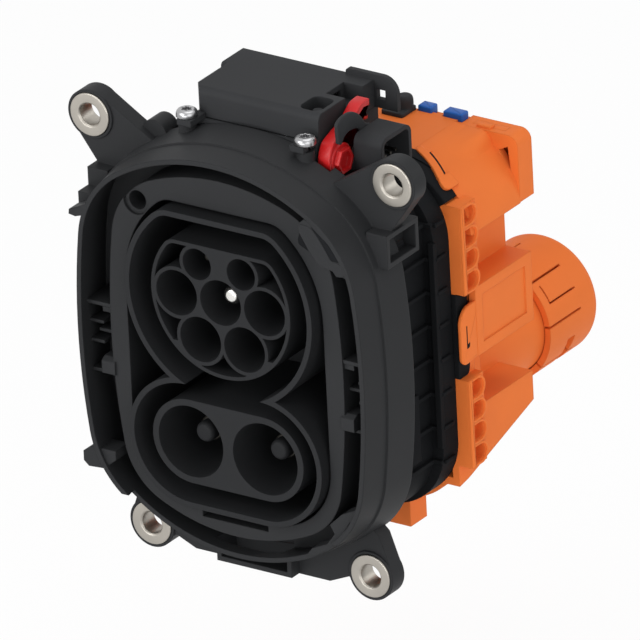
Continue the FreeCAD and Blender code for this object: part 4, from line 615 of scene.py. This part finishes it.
class INLET_OT_lever(bpy.types.Operator):
    """Makes the red release lever: a bent ribbon with a hook, a round flange and a hexagonal boss"""

    bl_idname = "inlet.lever"
    bl_label = "Release lever"

    def execute(self, context):
        edge = context.scene.inlet_sizes.lever_round / MM
        ribbon = np.array([
            (-0.6, -6.4), (-4.3, -4.8), (-6.2, -1.2), (-6.1, 2.6), (-4.0, 6.4), (0.8, 8.1), (5.9, 9.4),
            (11.9, 13.6), (15.8, 13.9), (16.6, 13.6), (16.4, 11.3), (12.9, 11.7), (12.4, 9.9), (15.6, 8.5),
            (15.0, 7.3), (11.2, 8.4), (7.0, 6.6), (1.6, 5.4), (-2.4, 4.2), (-3.8, 1.8), (-3.9, -0.9),
            (-2.6, -3.2), (-0.4, -4.2),
        ])
        rounding = np.full(len(ribbon), 1.6)
        rounding[[0, 8, 9, 10, 13, 14, 22]] = 0.5
        rounding[[11, 12]] = 0.4
        rear, front, top, bore = 24.0, 28.4, 30.4, 2.22
        arm = slab(soften(LEVER_SHAFT + ribbon, rounding), "X", rear, front, min(edge, 0.4))
        section = [(bore, rear), (5.6, rear), (5.3, front + 0.4), (2.9, front + 0.4), (bore, 26.6)]
        disc = turned(soften(section, [0.1, 0.3, 0.4, 0.1, 0.1]), "X", LEVER_SHAFT)
        section = [
            (0.0, front - 0.1, 0), (4.3, front - 0.1, 1), (4.3, top, 1), (3.2, top, 1),
            (3.0, front + 0.5, 1), (0.0, front + 0.5, 0),
        ]
        path = soften(section, [0, 0.1, 0.25, 0.15, 0.05, 0], closed=False)
        boss = turned(path, "X", LEVER_SHAFT, closed=False, form=hexagon, steps=96)
        make_piece("release_lever_moulded", [arm, disc, boss], "lever_red", ["release_lever"])
        return {"FINISHED"}


class INLET_OT_guard(bpy.types.Operator):
    """Makes the thin guard plate beside the lever"""

    bl_idname = "inlet.guard"
    bl_label = "Lever guard"

    def execute(self, context):
        inner, outer = (corner[0] for corner in node_span("lever_guard"))
        leaf = [
            (22.4, 50.0), (21.9, 56.6), (24.2, 57.9), (28.6, 58.2), (32.2, 57.0), (35.2, 54.2), (36.8, 51.4),
            (40.0, 50.2), (40.0, 47.8), (36.0, 48.4), (33.2, 51.4), (28.4, 52.3), (25.4, 51.4), (23.9, 49.4),
        ]
        path = soften(leaf, [0.5, 0.9, 1.4, 2.0, 2.0, 1.8, 1.2, 0.4, 0.3, 1.5, 1.6, 1.6, 1.2, 0.5])
        plate = slab(path, "X", inner, outer, 0.3)
        make_piece("lever_guard_moulded", [plate], "actuator_black", ["lever_guard"])
        return {"FINISHED"}


class INLET_OT_screws(bpy.types.Operator):
    """Turns the two pan-head screws with their six-lobed recess"""

    bl_idname = "inlet.screws"
    bl_label = "Actuator screws"

    def execute(self, context):
        low, high = node_span("actuator_screws")
        foot, top = low[2], high[2]
        seat = top - 2.4
        section = [
            (0.0, foot, 0), (1.2, foot, 0), (1.2, seat, 0), (3.4, seat, 0), (3.4, top - 0.9, 0),
            (2.6, top, 0), (1.55, top, 1), (1.45, top - 1.3, 1), (0.0, top - 1.4, 0),
        ]
        path = soften(section, [0, 0.3, 0.1, 0.2, 0.7, 0.7, 0.12, 0.2, 0], closed=False)
        place_y = (low[1] + high[1]) / 2.0
        shells = [
            turned(path, "Z", (side * SCREW_X, place_y), closed=False, form=six_lobes, steps=96)
            for side in (-1, 1)
        ]
        make_piece("actuator_screws_turned", shells, "screw_steel", ["actuator_screws"])
        return {"FINISHED"}


class INLET_OT_locks(bpy.types.Operator):
    """Makes the two blue sliding locks, their black strip and its domed knob"""

    bl_idname = "inlet.locks"
    bl_label = "Position locks"

    def execute(self, context):
        edge = context.scene.inlet_sizes.lock_round / MM
        for node in ("inner_position_lock", "outer_position_lock"):
            low, high = node_span(node)
            body = slab(soften(self.rectangle(low, high), edge), "Z", low[2], high[2], edge)
            make_piece(node + "_moulded", [body], "lock_blue", [node])
        low, high = node_span("lock_base")
        foot, knob_r = low[2], 2.7
        knob = (KNOB_X, (low[1] + high[1] + knob_r) / 2.0)
        strip = slab(soften(self.rectangle(low, high - [0.1, 0.0, 0.0]), 1.0), "Z", foot, foot + 1.4, 0.3)
        section = [(0.0, foot + 1.0), (knob_r, foot + 1.0), (knob_r, high[2]), (0.0, high[2])]
        dome = turned(soften(section, [0, 0.1, 2.4, 0], closed=False, steps=10), "Z", knob, closed=False)
        make_piece("lock_base_moulded", [strip, dome], "actuator_black", ["lock_base"])
        return {"FINISHED"}

    def rectangle(self, low, high):
        """Corners in X and Y between two points."""
        return [(low[0], low[1]), (high[0], low[1]), (high[0], high[1]), (low[0], high[1])]


def tongue_front(degrees):
    """Front edge of a corner tongue, as Y over the angle round the corner."""
    angles = (42.3, 43.2, 45.2, 49.0, 54.9, 62.5, 71.7, 82.0, 84.0)
    places = (54.4, 52.8, 52.0, 52.1, 53.1, 54.8, 56.6, 58.6, 59.6)
    return np.interp(degrees, angles, places)


def slit_middle(degrees):
    """Middle of the slit behind a corner tongue, as Y: it starts at 56.4 and drifts to the rear."""
    return 56.4 + (degrees - 53.5) * 0.194


class INLET_OT_snap_tongues(bpy.types.Operator):
    """Makes the raised snap tongues on the corners and sides of the orange cover"""

    bl_idname = "inlet.snap_tongues"
    bl_label = "Snap tongues"

    def execute(self, context):
        high = node_span("rear_cover")[1]
        self.corner((high[0] - CORNER_R, high[2] - CORNER_R))
        self.side(high[0])
        return {"FINISHED"}

    def corner(self, centre):
        """Tongue round the upper corner with a slit, whose dark is painted shade: a black plate fills it. The
        tongue lies over black laps of the frame behind it.
        """
        bar = np.linspace(53.2, 84.0, 32)
        foot = np.linspace(42.3, 53.2, 16)
        head = np.linspace(74.4, 84.0, 12)
        half_gap = 0.3
        make_trim("corner_tongues", [
            strap(bar, tongue_front(bar), slit_middle(bar) - half_gap, 23.7, 24.8, centre),
            strap(foot, tongue_front(foot), 58.6, 23.7, 24.8, centre),
            strap(head, slit_middle(head) - half_gap, 62.2, 23.5, 24.4, centre),
        ], "cover_orange")
        # painted shade: a thin black plate fills the slit between the straps and stands for its shade
        slit = np.linspace(53.8, 73.8, 24)
        plate = strap(slit, slit_middle(slit) - 0.38, slit_middle(slit) + 0.36, 23.6, 24.82, centre)
        make_trim("corner_slits_painted_shade", [plate], "frame_black")
        low = np.linspace(36.0, 88.0, 48)
        high = np.linspace(58.0, 88.0, 28)
        make_trim("corner_laps", [
            strap(low, 49.3, 56.0, 21.0, 23.8, centre),
            strap(high, 55.0, tongue_front(high) + 0.1, 23.0, 24.2, centre),
        ], "frame_black")

    def side(self, reach):
        """Tongue on the side with a hooked slit, drawn as a thin black plate on its face that paints the
        slit's shade, over a black lap of the frame; outlines in Y and Z.
        """
        tongue = [(47.7, -14.0), (50.6, -10.4), (58.2, -10.0), (58.2, -28.2), (49.4, -29.2), (47.7, -27.4)]
        path = soften(tongue, [1.6, 2.0, 0.3, 0.3, 1.6, 1.4])
        make_trim("side_tongues", [slab(path, "X", reach - 1.4, reach - 0.08, 0.4)], "cover_orange")
        lap = [(49.1, -6.2), (54.6, -6.2), (55.4, -10.8), (55.4, -29.0), (54.6, -34.2), (49.1, -34.2)]
        path = soften(lap, [0.3, 1.6, 1.0, 1.0, 1.6, 0.3])
        make_trim("side_laps", [slab(path, "X", reach - 4.3, reach - 2.4, 0.2)], "frame_black")
        # painted shade: the hooked slit is a thin black plate standing just proud of the tongue
        slit = [(50.5, -16.4), (51.0, -16.4), (51.0, -22.6), (52.2, -22.2), (52.0, -23.8), (50.5, -24.0)]
        path = soften(slit, [0.2, 0.2, 0.3, 0.4, 0.5, 0.3])
        make_trim("side_slits_painted_shade", [slab(path, "X", reach - 0.4, reach - 0.04, 0.02)], "frame_black")


class INLET_OT_cover_forms(bpy.types.Operator):
    """Adds the catches, the blended shoulders and the walls of the bars' pockets to the orange cover"""

    bl_idname = "inlet.cover_forms"
    bl_label = "Cover forms"

    def execute(self, context):
        reach = node_span("rear_cover")[1][0]
        self.catches()
        self.shoulders((reach - CORNER_R, CROWN_CENTRE_Z))
        self.scallops(reach)
        return {"FINISHED"}

    def shoulders(self, centre):
        """Blend of the round crown into the square box behind it: at angle a and place y the radius is
        r + w s (R - r), where r lies just below the crown and R reaches the box's top, and w and s rise
        as 3t^2 - 2t^3 from 0 to 1, w along y and s with the angle."""
        below, skin = CORNER_R - 0.1, 0.7
        first, last = 64.0, 82.7
        a = np.radians(np.linspace(48.0, 89.0, 42))[:, None]
        y = np.linspace(first, last, 26)[None, :]
        w = np.clip((y - first) / (last - first - 0.3), 0.0, 1.0)
        s = np.clip((np.degrees(a) - 50.0) / 16.0, 0.0, 1.0)
        swell = (3 * w ** 2 - 2 * w ** 3) * (3 * s ** 2 - 2 * s ** 3)
        outer = below + swell * np.maximum((BOX_TOP - CROWN_CENTRE_Z) / np.sin(a) - below, 0.0)
        radius = np.concatenate([outer, np.broadcast_to(below - skin, outer.shape)], axis=1)
        place = np.concatenate([y, y[:, ::-1]], axis=1)
        shell = tube(along("Y", centre[0] + radius * np.cos(a), centre[1] + radius * np.sin(a), place))
        make_trim("cover_shoulders", [shell], "cover_orange")

    def scallops(self, reach):
        """Raised walls round the pockets: a strip along the front, and for each pocket a wall that runs
        back and turns in a half circle, between an inner and an outer radius round the pocket's middle."""
        inside, outside, front, middle_y, proud = 2.85, 3.65, 50.9, 54.6, 0.8
        t = np.radians(np.linspace(-90.0, 90.0, 15))
        outer = np.stack([middle_y + outside * np.cos(t), outside * np.sin(t)], axis=-1)
        inner = np.stack([middle_y + inside * np.cos(t[::-1]), inside * np.sin(t[::-1])], axis=-1)
        wall = np.vstack([
            [(front, -outside)], outer, [(front, outside), (front, inside)], inner, [(front, -inside)],
        ])
        pockets, pitch, clear = 4, 7.26, 0.03
        shells = []
        for low_end in BAR_LOW_ENDS:
            low, high = low_end + clear, low_end + BAR_LENGTH - clear
            strip = [(49.5 + clear, low), (51.3, low), (51.3, high), (49.5 + clear, high)]
            shells.append(slab(soften(strip, 0.2), "X", reach - 0.3, reach + proud, 0.3))
            for i in range(pockets):
                middle = low_end + BAR_LENGTH / 2.0 + pitch * (i - (pockets - 1) / 2.0)
                shells.append(slab(wall + [0.0, middle], "X", reach - 2.0, reach + proud, 0.3))
        make_trim("bar_scallops", shells, "cover_orange")

    def catches(self):
        """Small hooked catch on each box, and a plate that levels the hollow under it. The outlines are
        in X and Y."""
        top = BOX_TOP
        hollow = [(36.72, 84.72), (48.68, 84.72), (48.68, 87.58), (36.72, 87.58)]
        catch = [(39.0, 83.4), (44.2, 83.4), (44.2, 86.0), (41.8, 86.0), (41.8, 85.0), (39.0, 85.0)]
        make_trim("top_catches", [
            slab(hollow, "Z", top - 0.78, top + 0.02, 0.02),
            slab(soften(catch, 0.4), "Z", top - 0.4, top + 0.9, 0.3),
        ], "cover_orange")


class INLET_OT_frame_ribs(bpy.types.Operator):
    """Adds the second row of low ribs along the side of the rear frame's step"""

    bl_idname = "inlet.frame_ribs"
    bl_label = "Frame ribs"

    def execute(self, context):
        first = node_span("rear_frame")[1][2] - 15.1
        ribs, pitch, width = 8, 11.2, 1.2
        outline = soften([(50.3, 41.6), (51.25, 41.6), (51.25, 46.6), (50.9, 47.2), (50.3, 47.2)], 0.3)
        shells = []
        for i in range(ribs):
            low = first - pitch * i
            shells.append(slab(outline, "Z", low, low + width, 0.3))
        make_trim("frame_side_ribs", shells, "frame_black")
        return {"FINISHED"}


class INLET_OT_rim_clip(bpy.types.Operator):
    """Adds the arched clip between the inner frame and the rim, upper right, with thin dark plates beside it:
    painted shade of a recess, and the clip's painted shadow in a notch
    """

    bl_idname = "inlet.rim_clip"
    bl_label = "Rim clip"

    def execute(self, context):
        front = node_span("flange_housing")[0][1]
        outline = [
            (30.7, 32.2), (31.4, 33.7), (35.1, 33.4), (37.8, 30.6), (40.2, 26.9), (42.3, 23.4), (45.5, 23.3),
            (47.6, 20.7), (46.9, 19.0), (43.7, 18.5), (43.0, 20.2), (37.8, 20.9), (34.6, 25.2), (31.4, 29.7),
        ]
        path = soften(outline, [0.8, 0.8, 1.5, 3.0, 3.0, 1.0, 1.2, 0.8, 0.8, 1.0, 1.2, 1.5, 3.0, 2.0])
        clip = slab(path, "Y", front + 0.02, FRAME_FACE_Y + 0.1, 0.45)
        make_piece("rim_clip", [clip], "housing_black", body="housing")
        # painted shade and shadow: one dark plate stands for the recess, another for the clip's shadow on the
        # frame's face
        recess = soften([(35.3, 33.6), (46.5, 24.6), (45.4, 23.4), (41.8, 23.6)], [0.5, 1.0, 0.6, 0.6])
        notch_shadow_plate = soften([(28.9, 28.6), (28.2, 26.4), (28.5, 24.9), (32.0, 23.2)], [0.3, 0.6, 0.6, 0.3])
        shells = [
            slab(recess, "Y", front + 0.26, front + 0.5, 0.02),
            slab(notch_shadow_plate, "Y", FRAME_FACE_Y - 0.04, FRAME_FACE_Y + 0.2, 0.02),
        ]
        make_piece("rim_clip_painted_shade", shells, "frame_black", body="housing")
        return {"FINISHED"}


PART_MIDDLE = Vector((0.0, 0.04, -0.01))
WHITE = (1.0, 1.0, 1.0, 1.0)


def area_lamp(name, place, size, watts):
    """White rectangular lamp that faces the middle of the part."""
    data = bpy.data.lights.new(name, "AREA")
    data.shape = "RECTANGLE"
    data.size, data.size_y = size
    data.energy = watts
    lamp = bpy.data.objects.new(name, data)
    bpy.context.scene.collection.objects.link(lamp)
    lamp.location = place
    lamp.rotation_euler = (PART_MIDDLE - Vector(place)).to_track_quat("-Z", "Y").to_euler()


# Angles in degrees; distance and offsets in metres; lens in millimetres, on a 36 mm sensor
CAMERA = {
    "azimuth": 35.05, "elevation": 24.61, "roll": -2.88,
    "distance": 9.046, "right": 0.0300, "up": -0.0051, "lens": 1687.5,
}


def camera_axes():
    """Right, up and back of the camera in the object's frame, after its small roll."""
    a = math.radians(CAMERA["azimuth"])
    e = math.radians(CAMERA["elevation"])
    r = math.radians(CAMERA["roll"])
    back = Vector((math.sin(a) * math.cos(e), -math.cos(a) * math.cos(e), math.sin(e)))
    right = Vector((math.cos(a), math.sin(a), 0.0))
    up = back.cross(right)
    return math.cos(r) * right + math.sin(r) * up, -math.sin(r) * right + math.cos(r) * up, back


def background_rays(nodes):
    """1 for rays that see the background: from the camera, off gloss and through glass."""
    camera, glossy, through = (
        nodes.node("ShaderNodeLightPath", output=name)
        for name in ("Is Camera Ray", "Is Glossy Ray", "Is Transmission Ray"))
    return camera + glossy + through


class INLET_OT_stage(bpy.types.Operator):
    """Sets up the floor, the soft lamps and the camera"""

    bl_idname = "inlet.stage"
    bl_label = "Stage"

    def execute(self, context):
        stage = context.scene.inlet_stage
        self.floor(stage.drop)
        self.world(context, stage.sky)
        self.lamps(stage)
        self.camera(context)
        context.scene.view_settings.view_transform = "Standard"
        return {"FINISHED"}

    def floor(self, drop):
        """White floor with the part's shadow; rays that see the background see it glow."""
        reach, level = 3.0, CAD_BOUNDS[0].z - drop
        mesh = bpy.data.meshes.new("floor")
        corners = [(-1, -1), (1, -1), (1, 1), (-1, 1)]
        mesh.from_pydata([(reach * x, reach * y, level) for x, y in corners], [], [(0, 1, 2, 3)])
        obj = bpy.data.objects.new("floor", mesh)
        bpy.context.scene.collection.objects.link(obj)
        finish = Finish("floor_white")
        finish.set(Base_Color=(0.92, 0.92, 0.92), Roughness=0.9)
        glow = finish.node("ShaderNodeEmission", None, {"Color": WHITE})
        lit = Wire(finish.tree, finish.shader.outputs["BSDF"])
        glow_share = 0.93               # the rest is lit, and shows the shadow
        seen = background_rays(finish) * glow_share
        mixed = finish.node("ShaderNodeMixShader", None, {0: seen, 1: lit, 2: glow})
        finish.fill(finish.out.inputs["Surface"], mixed)
        mesh.materials.append(finish.material)

    def world(self, context, strength):
        """Soft light all round, and plain white for rays that see the background."""
        world = bpy.data.worlds.new("studio")
        context.scene.world = world
        world.use_nodes = True
        nodes = Nodes(world.node_tree)
        nodes.tree.nodes.clear()
        sky = (0.94, 0.96, 1.0, 1.0)
        soft = nodes.node("ShaderNodeBackground", None, {"Color": sky, "Strength": strength})
        white = nodes.node("ShaderNodeBackground", None, {"Color": WHITE})
        mixed = nodes.node("ShaderNodeMixShader", None, {0: background_rays(nodes), 1: soft, 2: white})
        nodes.node("ShaderNodeOutputWorld", None, {"Surface": mixed})

    def lamps(self, stage):
        area_lamp("key", (-0.45, -1.0, 0.60), (0.8, 0.8), stage.key)
        area_lamp("fill", (0.95, -0.55, 0.35), (0.8, 0.8), stage.fill)
        area_lamp("low", (0.10, -1.15, 0.02), (0.9, 0.3), stage.low)
        area_lamp("top", (0.1, 0.15, 1.1), (0.9, 0.9), stage.top)
        area_lamp("rim", (0.7, 0.9, 0.45), (0.6, 0.6), stage.rim)

    def camera(self, context):
        right, up, back = camera_axes()
        data = bpy.data.cameras.new("camera")
        data.sensor_width = 36.0
        data.lens = CAMERA["lens"]
        data.clip_start, data.clip_end = 0.5, 40.0
        obj = bpy.data.objects.new("camera", data)
        context.scene.collection.objects.link(obj)
        place = back * CAMERA["distance"] + right * CAMERA["right"] + up * CAMERA["up"]
        turn = Matrix((right, up, back)).transposed().to_4x4()
        obj.matrix_world = Matrix.Translation(place) @ turn
        context.scene.camera = obj


OPERATORS = [
    INLET_OT_finish_frame, INLET_OT_sleeves, INLET_OT_contacts, INLET_OT_lever, INLET_OT_guard,
    INLET_OT_screws, INLET_OT_locks, INLET_OT_snap_tongues, INLET_OT_cover_forms, INLET_OT_frame_ribs,
    INLET_OT_rim_clip, INLET_OT_stage,
]


class INLET_PT_panel(bpy.types.Panel):
    """Lists the inlet's operators, sizes and colours"""

    bl_idname = "INLET_PT_panel"
    bl_label = "Charging inlet"
    bl_space_type = "VIEW_3D"
    bl_region_type = "UI"
    bl_category = "Inlet"

    def draw(self, context):
        scene = context.scene
        for operator in OPERATORS:
            self.layout.operator(operator.bl_idname)
        for group in (scene.inlet_colours, scene.inlet_sizes, scene.inlet_stage):
            box = self.layout.box()
            for name in group.__annotations__:
                box.prop(group, name)


CLASSES = [InletColours, InletSizes, InletStage, *OPERATORS, INLET_PT_panel]


def register():
    for cls in CLASSES:
        bpy.utils.register_class(cls)
    bpy.types.Scene.inlet_colours = bpy.props.PointerProperty(type=InletColours)
    bpy.types.Scene.inlet_sizes = bpy.props.PointerProperty(type=InletSizes)
    bpy.types.Scene.inlet_stage = bpy.props.PointerProperty(type=InletStage)


def unregister():
    del bpy.types.Scene.inlet_stage
    del bpy.types.Scene.inlet_sizes
    del bpy.types.Scene.inlet_colours
    for cls in reversed(CLASSES):
        bpy.utils.unregister_class(cls)


def main():
    register()
    bpy.ops.inlet.finish_frame()
    bpy.ops.inlet.sleeves()
    bpy.ops.inlet.contacts()
    bpy.ops.inlet.lever()
    bpy.ops.inlet.guard()
    bpy.ops.inlet.screws()
    bpy.ops.inlet.locks()
    bpy.ops.inlet.snap_tongues()
    bpy.ops.inlet.cover_forms()
    bpy.ops.inlet.frame_ribs()
    bpy.ops.inlet.rim_clip()
    bpy.ops.inlet.stage()


if __name__ == "__main__":
    main()
